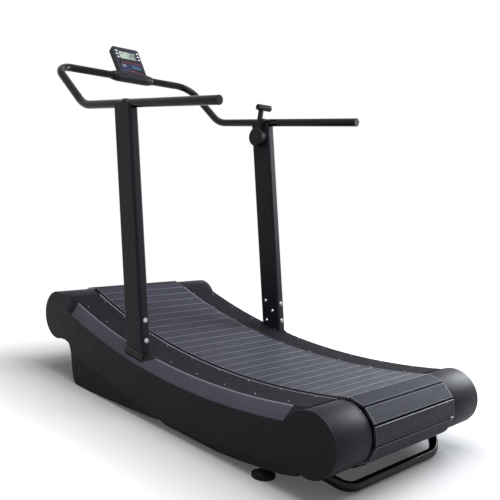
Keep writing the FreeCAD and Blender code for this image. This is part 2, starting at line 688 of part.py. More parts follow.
def post_sockets():
    half_x = POST_WIDTH / 2 - POST_WALL
    half_y = POST_DEPTH / 2 - POST_WALL
    corner = POST_CORNER - POST_WALL
    stub = rounded_column(half_x, half_y, -215, STUB_TOP, corner)
    inside = rounded_column(half_x - STUB_WALL, half_y - STUB_WALL, -230, STUB_TOP + 1,
                            corner - STUB_WALL)
    stub = leaning(stub.cut(inside))
    stub = stub.cut(box(300, 500, -400, 400, -100, BEAM_TOP))
    for hole in post_bolt_holes():
        stub = stub.cut(hole)
    cable_room = Part.makeCylinder(CABLE_R + 1, POST_DEPTH, V(POST_X, POST_Y, CABLE_LOW_Z),
                                   V(0, 1, 0))
    save("post_sockets", Part.makeCompound([mirrored(stub), stub.cut(cable_room)]))


def base_frame():
    beam = beam_block(0, 0).cut(beam_block(BEAM_WALL, 1))
    tabs = [box(BEAM_X + BEAM_WIDTH - 2, COVER_IN_X, y - 15, y + 15, z, z + 4)
            for y, z in COVER_TABS]
    side = join([beam] + tabs)
    side = side.cut(cyl_z(FOOT_X, REAR_FOOT_Y, 0, 62, FOOT_STUD_R))
    side = side.cut(cyl_z(FOOT_X, FRONT_FOOT_Y, 0, 45, FOOT_STUD_R))
    side = side.cut(cyl_x(BEAM_X - 1, BEAM_X + BEAM_WALL + 1, WHEEL_Y,
                          WHEEL_R + WHEEL_LIFT, AXLE_R))
    crosses = [cross_tube(REAR_CROSS_Y, REAR_CROSS_Z, REAR_CROSS_HEIGHT)]
    crosses += [cross_tube(y, BEAM_Z, BEAM_HEIGHT) for y in CROSS_YS]
    save("base_frame", join([side, mirrored(side)] + crosses))


def lift_handle():
    """Bent tube whose arms spread and rise from the rear bar to the rear cross tube."""
    knee_z = REAR_CROSS_Z + REAR_CROSS_HEIGHT / 2
    right = [V(HANDLE_HALF_WIDTH, HANDLE_REAR_Y, HANDLE_Z), V(HANDLE_KNEE_X, HANDLE_KNEE_Y, knee_z),
             V(HANDLE_KNEE_X, REAR_CROSS_Y - CROSS_WIDTH / 2, knee_z)]
    left = [V(-p.x, p.y, p.z) for p in reversed(right)]
    bends = [HANDLE_KNEE_BEND, HANDLE_BEND, HANDLE_BEND, HANDLE_KNEE_BEND]
    points = left + right
    tube = rod(points, bends, HANDLE_R).cut(rod(points, bends, HANDLE_R - HANDLE_WALL))
    save("lift_handle", tube)


def foot_pad(y, height, radius):
    low = cyl_z(FOOT_X, y, 0, 9, radius)
    cone = Part.makeCone(radius - 3, 18, height - 9, V(FOOT_X, y, 9), V(0, 0, 1))
    return join([low, cone]).cut(cyl_z(FOOT_X, y, 5, height + 1, FOOT_STUD_R))


def foot_stud(y, low, nut_z, high):
    stud = cyl_z(FOOT_X, y, low, high, FOOT_STUD_R)
    hexagon = []
    for i in range(6):
        angle = math.radians(60 * i)
        hexagon.append(V(FOOT_X + 11 * math.cos(angle), y + 11 * math.sin(angle), nut_z))
    nut = Part.Face(Part.makePolygon(hexagon + hexagon[:1])).extrude(V(0, 0, 8))
    return join([stud, nut])


def feet():
    save("foot_pads", both_sides([foot_pad(REAR_FOOT_Y, 20, REAR_PAD_R),
                                  foot_pad(FRONT_FOOT_Y, 18, FRONT_PAD_R)]))
    save("foot_studs", both_sides([foot_stud(REAR_FOOT_Y, 5, 24, 60),
                                   foot_stud(FRONT_FOOT_Y, 5, 20, 44)]))


def transport_wheels():
    z = WHEEL_R + WHEEL_LIFT
    x1 = WHEEL_X + WHEEL_WIDTH
    tyre = cyl_x(WHEEL_X, x1, WHEEL_Y, z, WHEEL_R)
    for x0 in (WHEEL_X, x1 - 4):
        tyre = tyre.cut(cyl_x(x0, x0 + 4, WHEEL_Y, z, 24).cut(cyl_x(x0, x0 + 4, WHEEL_Y, z, 12)))
    tyre = tyre.cut(cyl_x(WHEEL_X - 1, x1 + 1, WHEEL_Y, z, AXLE_R + BEARING_CLEARANCE))
    save_pair("transport_wheel", tyre)
    shank = cyl_x(WHEEL_X - 0.5, BEAM_X + 12, WHEEL_Y, z, AXLE_R)
    head = cyl_x(WHEEL_X - 5, WHEEL_X - 0.5, WHEEL_Y, z, 9)
    spacer = cyl_x(x1 + 0.5, BEAM_X, WHEEL_Y, z, 9)
    save("wheel_axles", both_sides([join([shank, head, spacer])]))


# ---- uprights and handrail ----------------------------------------------------------
def rounded_column(half_x, half_y, z0, z1, radius):
    column = box(-half_x, half_x, -half_y, half_y, z0, z1)
    upright_edges = [e for e in column.Edges if abs(e.tangentAt(e.FirstParameter).z) > 0.9]
    return column.makeFillet(radius, upright_edges)


def bolt_places():
    """Local (origin, direction) of each bolt, pointing out of the post."""
    rear = [(V(0, -POST_DEPTH / 2, t), V(0, -1, 0)) for t in (107.0, 27.0)]
    inner = [(V(-POST_WIDTH / 2, y, t), V(-1, 0, 0))
             for y, t in ((22.0, 122.0), (-19.0, 74.0), (22.0, 30.0))]
    return rear + inner


def post_bolt_holes():
    return [leaning(Part.makeCylinder(BOLT_R, 14, start - out * 12, out))
            for start, out in bolt_places()]


def post_bolt(start, out):
    shank = Part.makeCylinder(BOLT_R, 10, start - out * 10, out)
    washer = Part.makeCylinder(BOLT_HEAD_R + 1.5, 1.5, start, out)
    head = Part.makeCone(BOLT_HEAD_R, BOLT_HEAD_R - 2.5, 5, start + out * 1.5, out)
    socket = Part.makeCylinder(2.6, 3, start + out * 3.6, out)
    return leaning(join([shank, washer, head]).cut(socket))


def rail_piece(radius, y, before, length):
    """Cylinder on the handrail's side run, from before ahead of y."""
    start = V(POST_X, y, HANDRAIL_REAR_Z + (y - HANDRAIL_REAR_Y) * RAIL_SLOPE)
    return Part.makeCylinder(radius, length, start - RAIL_AXIS * before, RAIL_AXIS)


def post_top():
    """Point (y, z) where the post's axis meets the handrail's axis."""
    lean = math.tan(LEAN)
    z_at_zero = HANDRAIL_REAR_Z - HANDRAIL_REAR_Y * RAIL_SLOPE
    y = (POST_Y + (z_at_zero - POST_Z) * lean) / (1 - RAIL_SLOPE * lean)
    return y, z_at_zero + y * RAIL_SLOPE


def upright():
    top_y, top_z = post_top()
    height = (top_z - POST_Z) / math.cos(LEAN) + 20
    half_x = POST_WIDTH / 2
    half_y = POST_DEPTH / 2
    column = rounded_column(half_x, half_y, POST_BOTTOM, height, POST_CORNER)
    inside = rounded_column(half_x - POST_WALL, half_y - POST_WALL, POST_BOTTOM - 10,
                            height + 1, POST_CORNER - POST_WALL)
    column = leaning(column.cut(inside))
    column = column.cut(box(300, 500, 0, 600, top_z - 2, top_z + 200))
    column = column.cut(rail_piece(RAIL_R, top_y, POST_DEPTH, 2 * POST_DEPTH))
    for hole in post_bolt_holes():
        column = column.cut(hole)
    return column


def cable_window():
    return cyl_x(POST_X - POST_WIDTH, POST_X, LEVER_Y, LEVER_Z - CABLE_DROP, CABLE_R)


def uprights():
    save("upright_left", mirrored(upright()))
    save("upright_right", upright().cut(cable_window()))
    save("upright_bolts", both_sides([post_bolt(*place) for place in bolt_places()]))


def handrail():
    right = [V(POST_X, HANDRAIL_TOP_Y, HANDRAIL_TOP_Z),
             V(POST_X, HANDRAIL_BEND_Y, HANDRAIL_BEND_Z),
             V(POST_X, HANDRAIL_REAR_Y, HANDRAIL_REAR_Z)]
    points = [V(-p.x, p.y, p.z) for p in reversed(right)] + right
    bends = [SIDE_BEND, TOP_BEND, TOP_BEND, SIDE_BEND]
    tube = rod(points, bends, RAIL_R).cut(rod(points, bends, RAIL_R - RAIL_WALL))
    save("handrail", tube)
    cap = rail_piece(RAIL_R, HANDRAIL_REAR_Y, PLUG_LENGTH, PLUG_LENGTH)
    rim = [e for e in cap.Edges if e.Curve.TypeId == "Part::GeomCircle"
           and e.CenterOfMass.y < HANDRAIL_REAR_Y - PLUG_LENGTH / 2]
    cap = cap.makeFillet(2.5, rim)
    stem = rail_piece(RAIL_R - RAIL_WALL, HANDRAIL_REAR_Y, 1, 22)
    save("rail_end_plugs", both_sides([join([cap, stem])]))


def rail_clamps():
    y, z = post_top()
    half = CLAMP_LENGTH / 2
    ring = rail_piece(RAIL_R + CLAMP_WALL, y, half, CLAMP_LENGTH)
    ring = ring.cut(rail_piece(RAIL_R, y, half + 1, CLAMP_LENGTH + 2))
    ring = ring.cut(box(300, 500, 0, 600, z - 100, z - 2))
    save("rail_clamps", both_sides([ring]))


# ---- console ------------------------------------------------------------------------
def on_console(shape):
    """Place a shape drawn with X across, Y into the console, Z up its face from the tube."""
    shape.translate(V(0, -CONSOLE_REACH, 0))
    shape.rotate(V(0, 0, 0), V(1, 0, 0), -CONSOLE_TILT)
    shape.translate(V(CONSOLE_X, HANDRAIL_TOP_Y, HANDRAIL_TOP_Z))
    return shape


def console_slab(d0, d1, inset, corner):
    low = CONSOLE_HALF_BOTTOM - inset
    high = CONSOLE_HALF_TOP - inset
    u0 = CONSOLE_BOTTOM_U + inset
    u1 = CONSOLE_TOP_U - inset
    outline = [V(-low, d0, u0), V(low, d0, u0), V(high, d0, u1), V(-high, d0, u1)]
    slab = Part.Face(Part.makePolygon(outline + outline[:1])).extrude(V(0, d1 - d0, 0))
    corners = [e for e in slab.Edges if abs(e.tangentAt(e.FirstParameter).y) > 0.9]
    return slab.makeFillet(corner, corners)


def soften(slab, depth, radius):
    edges = [e for e in slab.Edges if abs(e.CenterOfMass.y - depth) < 0.01]
    return slab.makeFillet(radius, edges)


def saddle_solid():
    profile = [(0, 0), (0, RAIL_R + 2), (10, RAIL_R + 5), (34, SADDLE_R)]
    right = [(SADDLE_HALF_LENGTH - x, r) for x, r in profile]
    left = [(-x, r) for x, r in reversed(right)]
    points = [V(CONSOLE_X + x, HANDRAIL_TOP_Y, HANDRAIL_TOP_Z + r) for x, r in right + left]
    face = Part.Face(Part.makePolygon(points + points[:1]))
    return face.revolve(V(0, HANDRAIL_TOP_Y, HANDRAIL_TOP_Z), V(1, 0, 0), 360)


def stadium(x, u, length, height, d0, d1):
    straight = (length - height) / 2
    middle = box(x - straight, x + straight, d0, d1, u - height / 2, u + height / 2)
    ends = [Part.makeCylinder(height / 2, d1 - d0, V(x + side, d0, u), V(0, 1, 0))
            for side in (-straight, straight)]
    return join([middle] + ends)


def button_places():
    places = []
    for side, x in (("left", -BUTTON_X), ("right", BUTTON_X)):
        for number, u in enumerate(BUTTON_US, start=1):
            places.append((side + "_" + str(number), x, u))
    return places


def console():
    front = soften(console_slab(0, CONSOLE_FRONT, 0, 14), 0, 4)
    lcd_high = LCD_U + LCD_HEIGHT
    pocket = box(-LCD_HALF_WIDTH, LCD_HALF_WIDTH, -1, 3, LCD_U, lcd_high)
    front = front.cut(pocket)
    label_high = LABEL_U + LABEL_HEIGHT
    front = front.cut(box(-LABEL_HALF_WIDTH, LABEL_HALF_WIDTH, -1, 0.6, LABEL_U, label_high))
    for name, x, u in button_places():
        grown = stadium(x, u, BUTTON_LENGTH + 2 * BUTTON_CLEARANCE,
                        BUTTON_HEIGHT + 2 * BUTTON_CLEARANCE, -1, CONSOLE_FRONT + 1)
        front = front.cut(grown)
        key = stadium(x, u, BUTTON_LENGTH, BUTTON_HEIGHT, -BUTTON_PROUD, 9)
        key = key.makeFillet(0.8, [e for e in key.Edges
                                   if abs(e.CenterOfMass.y + BUTTON_PROUD) < 0.01])
        save("button_" + name, on_console(key))
    saddle = saddle_solid()
    save("console_housing", on_console(front).cut(saddle))
    lens = box(-LCD_HALF_WIDTH, LCD_HALF_WIDTH, 0.8, 3, LCD_U, lcd_high)
    save("console_lens", on_console(lens))
    label = box(-LABEL_HALF_WIDTH, LABEL_HALF_WIDTH, 0, 0.6, LABEL_U, label_high)
    save("console_label", on_console(label))
    back = soften(console_slab(CONSOLE_FRONT, CONSOLE_DEPTH, 2, 12), CONSOLE_DEPTH, 6)
    hollow = console_slab(CONSOLE_FRONT - 1, CONSOLE_DEPTH - 3, 6, 8)
    save("console_back", on_console(back.cut(hollow)).cut(saddle))
    bore = cyl_x(-200, 200, HANDRAIL_TOP_Y, HANDRAIL_TOP_Z, RAIL_R)
    save("console_clamp", saddle.cut(bore))


# ---- resistance lever and brake -----------------------------------------------------
def lever_blade(grow, angle, reach):
    """Stem from the pivot, leaning back by angle, grown on every side."""
    half_x = LEVER_THICKNESS / 2 + grow
    half_y = LEVER_WIDTH / 2 + grow
    blade = box(-half_x, half_x, -half_y, half_y, 0, reach)
    blade.rotate(V(0, 0, 0), V(1, 0, 0), angle)
    blade.translate(V(LEVER_X, LEVER_Y, LEVER_Z))
    return blade


def lever_housing():
    x1 = POST_X - POST_WIDTH / 2
    x0 = x1 - LEVER_HOUSING_DEPTH
    drum_body = cyl_x(x0, x1, LEVER_Y, LEVER_Z, LEVER_HOUSING_R)
    face = [e for e in drum_body.Edges if abs(e.CenterOfMass.x - x0) < 0.01]
    drum_body = drum_body.makeFillet(4, face)
    ring = cyl_x(x0, x0 + 1.5, LEVER_Y, LEVER_Z, 30).cut(
        cyl_x(x0, x0 + 1.5, LEVER_Y, LEVER_Z, 27))
    drum_body = drum_body.cut(ring)
    half = LEVER_THICKNESS / 2 + LEVER_CLEARANCE
    room = cyl_x(LEVER_X - half, LEVER_X + half, LEVER_Y, LEVER_Z,
                 LEVER_HUB_R + LEVER_CLEARANCE)
    room = room.cut(cyl_x(LEVER_X - half, LEVER_X + half, LEVER_Y, LEVER_Z, STUD_R))
    step = -LEVER_FORWARD
    while step <= LEVER_BACK:
        sweep = lever_blade(LEVER_CLEARANCE, LEVER_REST + step, 90)
        room = room.fuse(sweep.cut(cyl_x(x0, x1, LEVER_Y, LEVER_Z, STUD_R)))
        step += 10
    save("lever_housing", drum_body.cut(room))


def lever():
    half = LEVER_THICKNESS / 2
    hub = cyl_x(LEVER_X - half, LEVER_X + half, LEVER_Y, LEVER_Z, LEVER_HUB_R)
    stem = lever_blade(0, LEVER_REST, LEVER_REACH - GRIP_R + 4)
    bore = cyl_x(300, 400, LEVER_Y, LEVER_Z, STUD_R + BEARING_CLEARANCE)
    angle = math.radians(LEVER_REST)
    y = LEVER_Y - LEVER_REACH * math.sin(angle)
    z = LEVER_Z + LEVER_REACH * math.cos(angle)
    x0 = GRIP_X - GRIP_LENGTH / 2
    grip = cyl_x(x0, x0 + GRIP_LENGTH, y, z, GRIP_R)
    grip = grip.makeFillet(3, [e for e in grip.Edges if e.Curve.TypeId == "Part::GeomCircle"])
    for i in range(7):
        x = x0 + 9 + i * 10
        groove = cyl_x(x, x + 3, y, z, GRIP_R + 1).cut(cyl_x(x, x + 3, y, z, GRIP_R - 1.2))
        grip = grip.cut(groove)
    arm = join([hub, stem]).cut(bore)
    save("lever_grip", grip.cut(arm))
    save("lever_arm", arm)


def brake():
    disc_end = BRAKE_DISC_X + BRAKE_DISC_THICKNESS
    y = FRONT_AXLE_Y
    z = FRONT_AXLE_Z
    disc = cyl_x(BRAKE_DISC_X, disc_end, y, z, BRAKE_DISC_R)
    hub = cyl_x(BRAKE_DISC_X - 10, disc_end, y, z, 24)
    save("brake_disc", join([disc, hub]).cut(cyl_x(200, 400, y, z, SHAFT_R)))
    pin_y, pin_z = magnet_pivot()
    x0 = MAGNET_X
    x1 = MAGNET_X + 10
    boss = cyl_x(x0, x1, pin_y, pin_z, 10)
    reach = 48.0
    arm = box(0, x1 - x0, 0, reach, -8, 8)
    arm.translate(V(x0, pin_y, pin_z))
    pad = cyl_x(x0 - 2, x1, pin_y + reach, pin_z, 15)
    carrier = join([boss, arm, pad])
    save("magnet_carrier", carrier.cut(cyl_x(200, 400, pin_y, pin_z, STUD_R + BEARING_CLEARANCE)))


def brake_cable_shape():
    low_y = POST_Y + (CABLE_LOW_Z - POST_Z) * math.tan(LEAN)
    start_x = POST_X - POST_WIDTH / 2 + POST_WALL / 2
    start_z = LEVER_Z - CABLE_DROP
    end_y, pin_z = magnet_pivot()
    end_z = pin_z + 20
    points = [V(start_x, LEVER_Y, start_z), V(POST_X, LEVER_Y, start_z),
              V(POST_X, low_y, CABLE_LOW_Z), V(POST_X, end_y - 47, CABLE_LOW_Z),
              V(POST_X, end_y, end_z), V(MAGNET_X + 19, end_y, end_z)]
    return rod(points, [12, 40, 35, 20], CABLE_R)


def main():
    os.makedirs("parts", exist_ok=True)
    slat_belt()
    carrier_belts()
    drums()
    support_rollers()
    side_plates()
    foot_rails()
    trims()
    caps()
    side_covers()
    front_skirts()
    base_frame()
    frame_gussets()
    rail_ledges()
    post_sockets()
    lift_handle()
    feet()
    transport_wheels()
    uprights()
    handrail()
    rail_clamps()
    console()
    lever_housing()
    lever()
    brake()
    save("brake_cable", brake_cable_shape())


main()
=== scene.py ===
"""Looks for the curved manual treadmill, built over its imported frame."""
import json
import math

import bmesh
import bpy
from mathutils import Matrix, Vector

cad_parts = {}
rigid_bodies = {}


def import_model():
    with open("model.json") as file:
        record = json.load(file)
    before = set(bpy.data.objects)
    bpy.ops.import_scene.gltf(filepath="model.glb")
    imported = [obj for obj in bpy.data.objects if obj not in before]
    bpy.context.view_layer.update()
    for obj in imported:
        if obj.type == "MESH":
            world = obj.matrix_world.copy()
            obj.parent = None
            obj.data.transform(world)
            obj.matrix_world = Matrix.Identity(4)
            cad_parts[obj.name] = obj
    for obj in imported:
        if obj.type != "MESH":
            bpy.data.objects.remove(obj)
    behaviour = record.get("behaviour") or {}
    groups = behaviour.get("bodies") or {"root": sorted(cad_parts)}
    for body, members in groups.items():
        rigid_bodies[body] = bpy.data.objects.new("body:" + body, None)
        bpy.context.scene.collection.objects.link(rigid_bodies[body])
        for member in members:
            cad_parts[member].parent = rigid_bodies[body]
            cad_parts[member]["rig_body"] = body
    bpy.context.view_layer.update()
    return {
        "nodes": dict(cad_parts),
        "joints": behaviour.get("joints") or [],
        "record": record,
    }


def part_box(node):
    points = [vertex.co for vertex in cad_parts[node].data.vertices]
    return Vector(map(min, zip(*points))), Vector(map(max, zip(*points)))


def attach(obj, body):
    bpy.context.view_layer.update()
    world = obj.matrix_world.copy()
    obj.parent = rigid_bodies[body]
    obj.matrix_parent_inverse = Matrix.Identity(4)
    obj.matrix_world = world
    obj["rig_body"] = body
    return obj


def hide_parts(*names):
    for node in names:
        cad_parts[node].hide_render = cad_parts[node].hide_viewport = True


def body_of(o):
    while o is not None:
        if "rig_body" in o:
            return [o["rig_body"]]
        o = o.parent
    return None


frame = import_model()
NODES = frame["nodes"]
JOINTS = {j["name"]: j for j in frame["joints"]}
RATIOS = {c["joint"]: c["ratio"] for c in frame["record"]["behaviour"]["couplings"]}

# Belt path, from the joints that move it. All lengths are in metres.
CENTRE = Vector(JOINTS["belt_travel"]["pos_m"])
FRONT_AXLE = Vector(JOINTS["front_drum_turn"]["pos_m"])
REAR_AXLE = Vector(JOINTS["rear_drum_turn"]["pos_m"])
BELT_R = -RATIOS["return_travel"]
DRUM_R = BELT_R / -RATIOS["front_drum_turn"]
SLAT_COUNT = 61
FIRST_SLAT = 0.215
BELT_LEAD = 0.006

# Tread pad: heights above the belt path, width along the belt, length across it.
TREAD_LOW = 0.0051
TREAD_HIGH = 0.0095
TREAD_HALF_WIDTH = 0.0295
TREAD_HALF_LENGTH = 0.240
TREAD_CHAMFER = 0.0015
GROOVE_DEPTH = 0.0009
BORDER_WIDTH = 0.0040
END_WIDTH = 0.0110
END_EDGE = 0.0018
END_EDGE_DROP = 0.0002
RIB_COUNT = 9
RIB_SIDE_GAP = 0.0013
RIB_END_GAP = 0.0012
RIB_FOOT = 0.36
RIB_TOP = 0.24

# Top face of the foot rails, as a distance from the curve's centre.
RAIL_DROP = 0.006
RAIL_TOP_R = BELT_R - TREAD_HIGH + RAIL_DROP


# ---- shader helpers -----------------------------------------------------------------
class Shader:
    """A node material whose patterns are laid out in the object's own metres."""

    def __init__(self, name, rough=0.5, metallic=0.0, specular=0.5):
        self.mat = bpy.data.materials.new(name)
        self.mat.use_nodes = True
        self.tree = self.mat.node_tree
        self.bsdf = self.tree.nodes["Principled BSDF"]
        self.bsdf.inputs["Roughness"].default_value = rough
        self.bsdf.inputs["Metallic"].default_value = metallic
        self.bsdf.inputs["Specular IOR Level"].default_value = specular
        self.place = self.add("ShaderNodeTexCoord").outputs["Object"]
        split = self.add("ShaderNodeSeparateXYZ")
        self.link(self.place, split.inputs[0])
        self.x, self.y, self.z = split.outputs

    def add(self, kind):
        return self.tree.nodes.new(kind)

    def link(self, source, target):
        if isinstance(source, (int, float)):
            target.default_value = source
        else:
            self.tree.links.new(source, target)

    def math(self, operation, a, b=0.0):
        node = self.add("ShaderNodeMath")
        node.operation = operation
        for value, socket in zip((a, b), node.inputs):
            self.link(value, socket)
        return node.outputs[0]

    def length(self, a, b):
        """Square root of a squared plus b squared."""
        squares = [self.math("MULTIPLY", value, value) for value in (a, b)]
        return self.math("SQRT", self.math("ADD", squares[0], squares[1]))

    def noise(self, scale, detail=2.0, roughness=0.5, stretch=None):
        node = self.add("ShaderNodeTexNoise")
        node.inputs["Scale"].default_value = scale
        node.inputs["Detail"].default_value = detail
        node.inputs["Roughness"].default_value = roughness
        place = self.place
        if stretch:
            mapping = self.add("ShaderNodeMapping")
            mapping.inputs["Scale"].default_value = stretch
            self.link(place, mapping.inputs["Vector"])
            place = mapping.outputs[0]
        self.link(place, node.inputs["Vector"])
        return node.outputs[0]

    def cells(self, scale):
        node = self.add("ShaderNodeTexVoronoi")
        node.inputs["Scale"].default_value = scale
        self.link(self.place, node.inputs["Vector"])
        return node.outputs["Distance"]

    def span(self, value, low, high, out_low=0.0, out_high=1.0):
        """Map low to high onto out_low to out_high, and hold the ends."""
        node = self.add("ShaderNodeMapRange")
        self.link(value, node.inputs["Value"])
        for name, number in (("From Min", low), ("From Max", high),
                             ("To Min", out_low), ("To Max", out_high)):
            node.inputs[name].default_value = number
        return node.outputs[0]

    def ramp(self, value, stops):
        node = self.add("ShaderNodeValToRGB")
        self.link(value, node.inputs[0])
        elements = node.color_ramp.elements
        for element, (position, colour) in zip(elements, stops):
            element.position = position
            element.color = (*colour, 1)
        return node.outputs[0]

    def mix(self, factor, a, b):
        node = self.add("ShaderNodeMix")
        node.data_type = "RGBA"
        self.link(factor, node.inputs[0])
        for value, socket in ((a, node.inputs[6]), (b, node.inputs[7])):
            if isinstance(value, tuple):
                socket.default_value = (*value, 1)
            else:
                self.link(value, socket)
        return node.outputs[2]

    def held_colour(self):
        """What the base colour is linked to so far."""
        return self.bsdf.inputs["Base Color"].links[0].from_socket

    def colour(self, value):
        self.link(value, self.bsdf.inputs["Base Color"])

    def rough(self, value):
        self.link(value, self.bsdf.inputs["Roughness"])

    def bump(self, height, distance):
        """Add relief over any relief that is there already."""
        node = self.add("ShaderNodeBump")
        node.inputs["Strength"].default_value = 1.0
        node.inputs["Distance"].default_value = distance
        self.link(height, node.inputs["Height"])
        held = self.bsdf.inputs["Normal"]
        if held.links:
            self.link(held.links[0].from_socket, node.inputs["Normal"])
        self.link(node.outputs[0], held)


# Noise values are mostly between these two, so patterns are spread over them.
NOISE_LOW = 0.3
NOISE_HIGH = 0.7
CLOUD_SCALE = 9.0
CLOUD_DETAIL = 4.0
GLOSS_SCALE = 34.0
GLOSS_DETAIL = 3.0
GRAIN_DETAIL = 2.0
NOISE_ROUGHNESS = 0.6


def shade(colour, factor):
    return tuple(min(1.0, c * factor) for c in colour)


def plain_finish(name, colour, rough, vary=0.12, grain=900.0, depth=0.00004, spread=0.06,
                 **settings):
    """Painted or moulded surface: faint mottling, fine grain, uneven gloss."""
    s = Shader(name, rough=rough, **settings)
    cloud = s.noise(CLOUD_SCALE, CLOUD_DETAIL, NOISE_ROUGHNESS)
    s.colour(s.ramp(cloud, [(NOISE_LOW, shade(colour, 1 - vary)),
                            (NOISE_HIGH, shade(colour, 1 + vary))]))
    fine = s.noise(grain, GRAIN_DETAIL, NOISE_ROUGHNESS)
    gloss = s.noise(GLOSS_SCALE, GLOSS_DETAIL, NOISE_ROUGHNESS)
    s.rough(s.span(gloss, NOISE_LOW, NOISE_HIGH, rough - spread, rough + spread))
    s.bump(fine, depth)
    return s


def brushed_finish(name, rough, metallic, scale, stretch, colours, gloss, depth):
    """Bare metal with fine lines across the machine; gloss is the lowest and highest."""
    s = Shader(name, rough=rough, metallic=metallic)
    lines = s.noise(scale, stretch=(stretch, 1.0, 1.0))
    s.colour(s.ramp(lines, [(NOISE_LOW, colours[0]), (NOISE_HIGH, colours[1])]))
    s.rough(s.span(lines, NOISE_LOW, NOISE_HIGH, gloss[0], gloss[1]))
    s.bump(lines, depth)
    return s


# ---- materials ----------------------------------------------------------------------
BLACK = (0.0038, 0.0038, 0.0050)
POST = (0.0125, 0.0125, 0.0165)
COVER = (0.0105, 0.0103, 0.0140)
SKIRT = shade(COVER, 0.72)
TRIM = (0.0720, 0.0735, 0.0960)
# Painted highlight colour for the trim's inner edge.
TRIM_HIGHLIGHT = (0.26, 0.26, 0.31)
RAIL = (0.0165, 0.0170, 0.0230)
# Painted highlight colour for the foot rails' inner edge.
RAIL_HIGHLIGHT = (0.26, 0.26, 0.30)
CAP = (0.0078, 0.0082, 0.0135)
TREAD = (0.0375, 0.0385, 0.0550)
# Darker copy of the tread colour: painted shade in the grooves.
TREAD_SHADE = shade(TREAD, 0.40)
# Paler copy of the tread colour: a painted highlight on edges.
TREAD_HIGHLIGHT = shade(TREAD, 2.8)
ZINC = (0.5200, 0.5200, 0.5400)
RUBBER = (0.008, 0.008, 0.009)
PLASTIC = (0.012, 0.012, 0.012)
CONSOLE = (0.0110, 0.0120, 0.0230)
SCREW = (0.20, 0.20, 0.21)
ROLLER = (0.045, 0.045, 0.048)
BUTTON = (0.72, 0.73, 0.76)
DISPLAY = (0.420, 0.480, 0.410)
DISPLAY_SHADED = (0.230, 0.300, 0.250)
SEGMENT = (0.010, 0.016, 0.012)
LABEL = (0.009, 0.010, 0.022)
INKS = {"maroon": (0.105, 0.028, 0.036), "pale": (0.300, 0.300, 0.400),
        "blue": (0.030, 0.042, 0.150), "teal": (0.070, 0.135, 0.190),
        "red": (0.190, 0.055, 0.055), "grey": (0.100, 0.100, 0.120)}

# Painted highlight lines on the deck: radii past the rail's top on the trim, and x on the
# foot rails.
TRIM_HIGHLIGHT_FROM = 0.0034
TRIM_HIGHLIGHT_TO = 0.0046
RAIL_HIGHLIGHT_FROM = 0.2520
RAIL_HIGHLIGHT_TO = 0.2540

KNURL_PITCH = 0.0150
KNURL_LOW = 0.15
KNURL_HIGH = 0.45
KNURL_DEPTH = 0.0006
# KNURL_SHADE darkens the knurl's grooves as painted shade.
KNURL_SHADE = 0.20

SCUFF_SCALE = 55.0
SCUFF_DETAIL = 5.0
SCUFF_ROUGHNESS = 0.7
SCUFF_STRETCH = (0.25, 1.0, 1.0)
SCUFF_LOW = 0.56
SCUFF_HIGH = 0.75
SCUFF_STRENGTH = 0.35
SCUFF_SHADE = 1.5

SPANGLE_SCALE = 900.0
SPANGLE_LOW = 0.2
SPANGLE_HIGH = 0.6
SPANGLE_DARK = 0.9
SPANGLE_LIGHT = 1.2
ZINC_ROUGH = 0.26
ZINC_METALLIC = 0.95
ZINC_GLOSS_SCALE = 240.0
ZINC_GLOSS_LOW = 0.2
ZINC_GLOSS_HIGH = 0.36

# The display is shaded from one x to the other.
DISPLAY_FROM = -0.012
DISPLAY_TO = 0.062

PLAIN_FINISHES = {
    "tube": dict(name="satin_black_coat", colour=BLACK, rough=0.17, grain=1300.0,
                 depth=0.000005, spread=0.03, specular=0.17),
    "post": dict(name="upright_coat", colour=POST, rough=0.45, grain=1300.0,
                 depth=0.00002, specular=0.12),
    "frame": dict(name="frame_coat", colour=BLACK, rough=0.48, grain=1000.0, specular=0.16),
    "skirt": dict(name="skirt_moulding", colour=SKIRT, rough=0.55, vary=0.08,
                  grain=1500.0, depth=0.00005, specular=0.12),
    "cover": dict(name="cover_moulding", colour=COVER, rough=0.55, vary=0.08, grain=1500.0,
                  depth=0.00005, specular=0.14),
    "trim": dict(name="trim_coat", colour=TRIM, rough=0.48, vary=0.08, grain=1700.0,
                 depth=0.00004, specular=0.18),
    "rail": dict(name="rail_grip", colour=RAIL, rough=0.62, vary=0.12, specular=0.04),
    "cap": dict(name="cap_satin", colour=CAP, rough=0.50, vary=0.05, grain=2000.0,
                depth=0.00001, spread=0.02, specular=0.12),
    "tread": dict(name="tread_rubber", colour=TREAD, rough=0.48, vary=0.10, grain=1800.0,
                  depth=0.00003, specular=0.12),
    # Painted shade in the treads' grooves and on the pads' sides.
    "groove_shade": dict(name="painted_groove_shade", colour=TREAD_SHADE, rough=0.62, specular=0.1),
    # Painted highlight on the treads' edges and on the boots' fins.
    "edge_highlight": dict(name="painted_tread_highlight", colour=TREAD_HIGHLIGHT, rough=0.42,
                       specular=0.3),
    "rubber": dict(name="black_rubber", colour=RUBBER, rough=0.66, vary=0.2, grain=700.0,
                   depth=0.00009, specular=0.2),
    "plastic": dict(name="moulded_black", colour=PLASTIC, rough=0.44, grain=1600.0,
                    depth=0.00003, specular=0.16),
    "console": dict(name="console_shell", colour=CONSOLE, rough=0.34, vary=0.08,
                    grain=1700.0, depth=0.00002, specular=0.2),
    "screw": dict(name="screw_head", colour=SCREW, rough=0.40, metallic=0.7),
    "roller": dict(name="roller_nylon", colour=ROLLER, rough=0.40),
    "button": dict(name="button_white", colour=BUTTON, rough=0.30, vary=0.04, depth=0.00002),
    "display": dict(name="display_glass", colour=DISPLAY, rough=0.16, vary=0.03, depth=0.0,
                    spread=0.03, specular=0.4),
    "digit": dict(name="display_segment", colour=SEGMENT, rough=0.4, specular=0.3),
    "label": dict(name="label_film", colour=LABEL, rough=0.30, vary=0.12, depth=0.00001,
                  specular=0.12),
}
for ink, ink_colour in INKS.items():
    PLAIN_FINISHES["ink_" + ink] = dict(name="ink_" + ink, colour=ink_colour, rough=0.34,
                                        vary=0.18, depth=0.00001, specular=0.12)

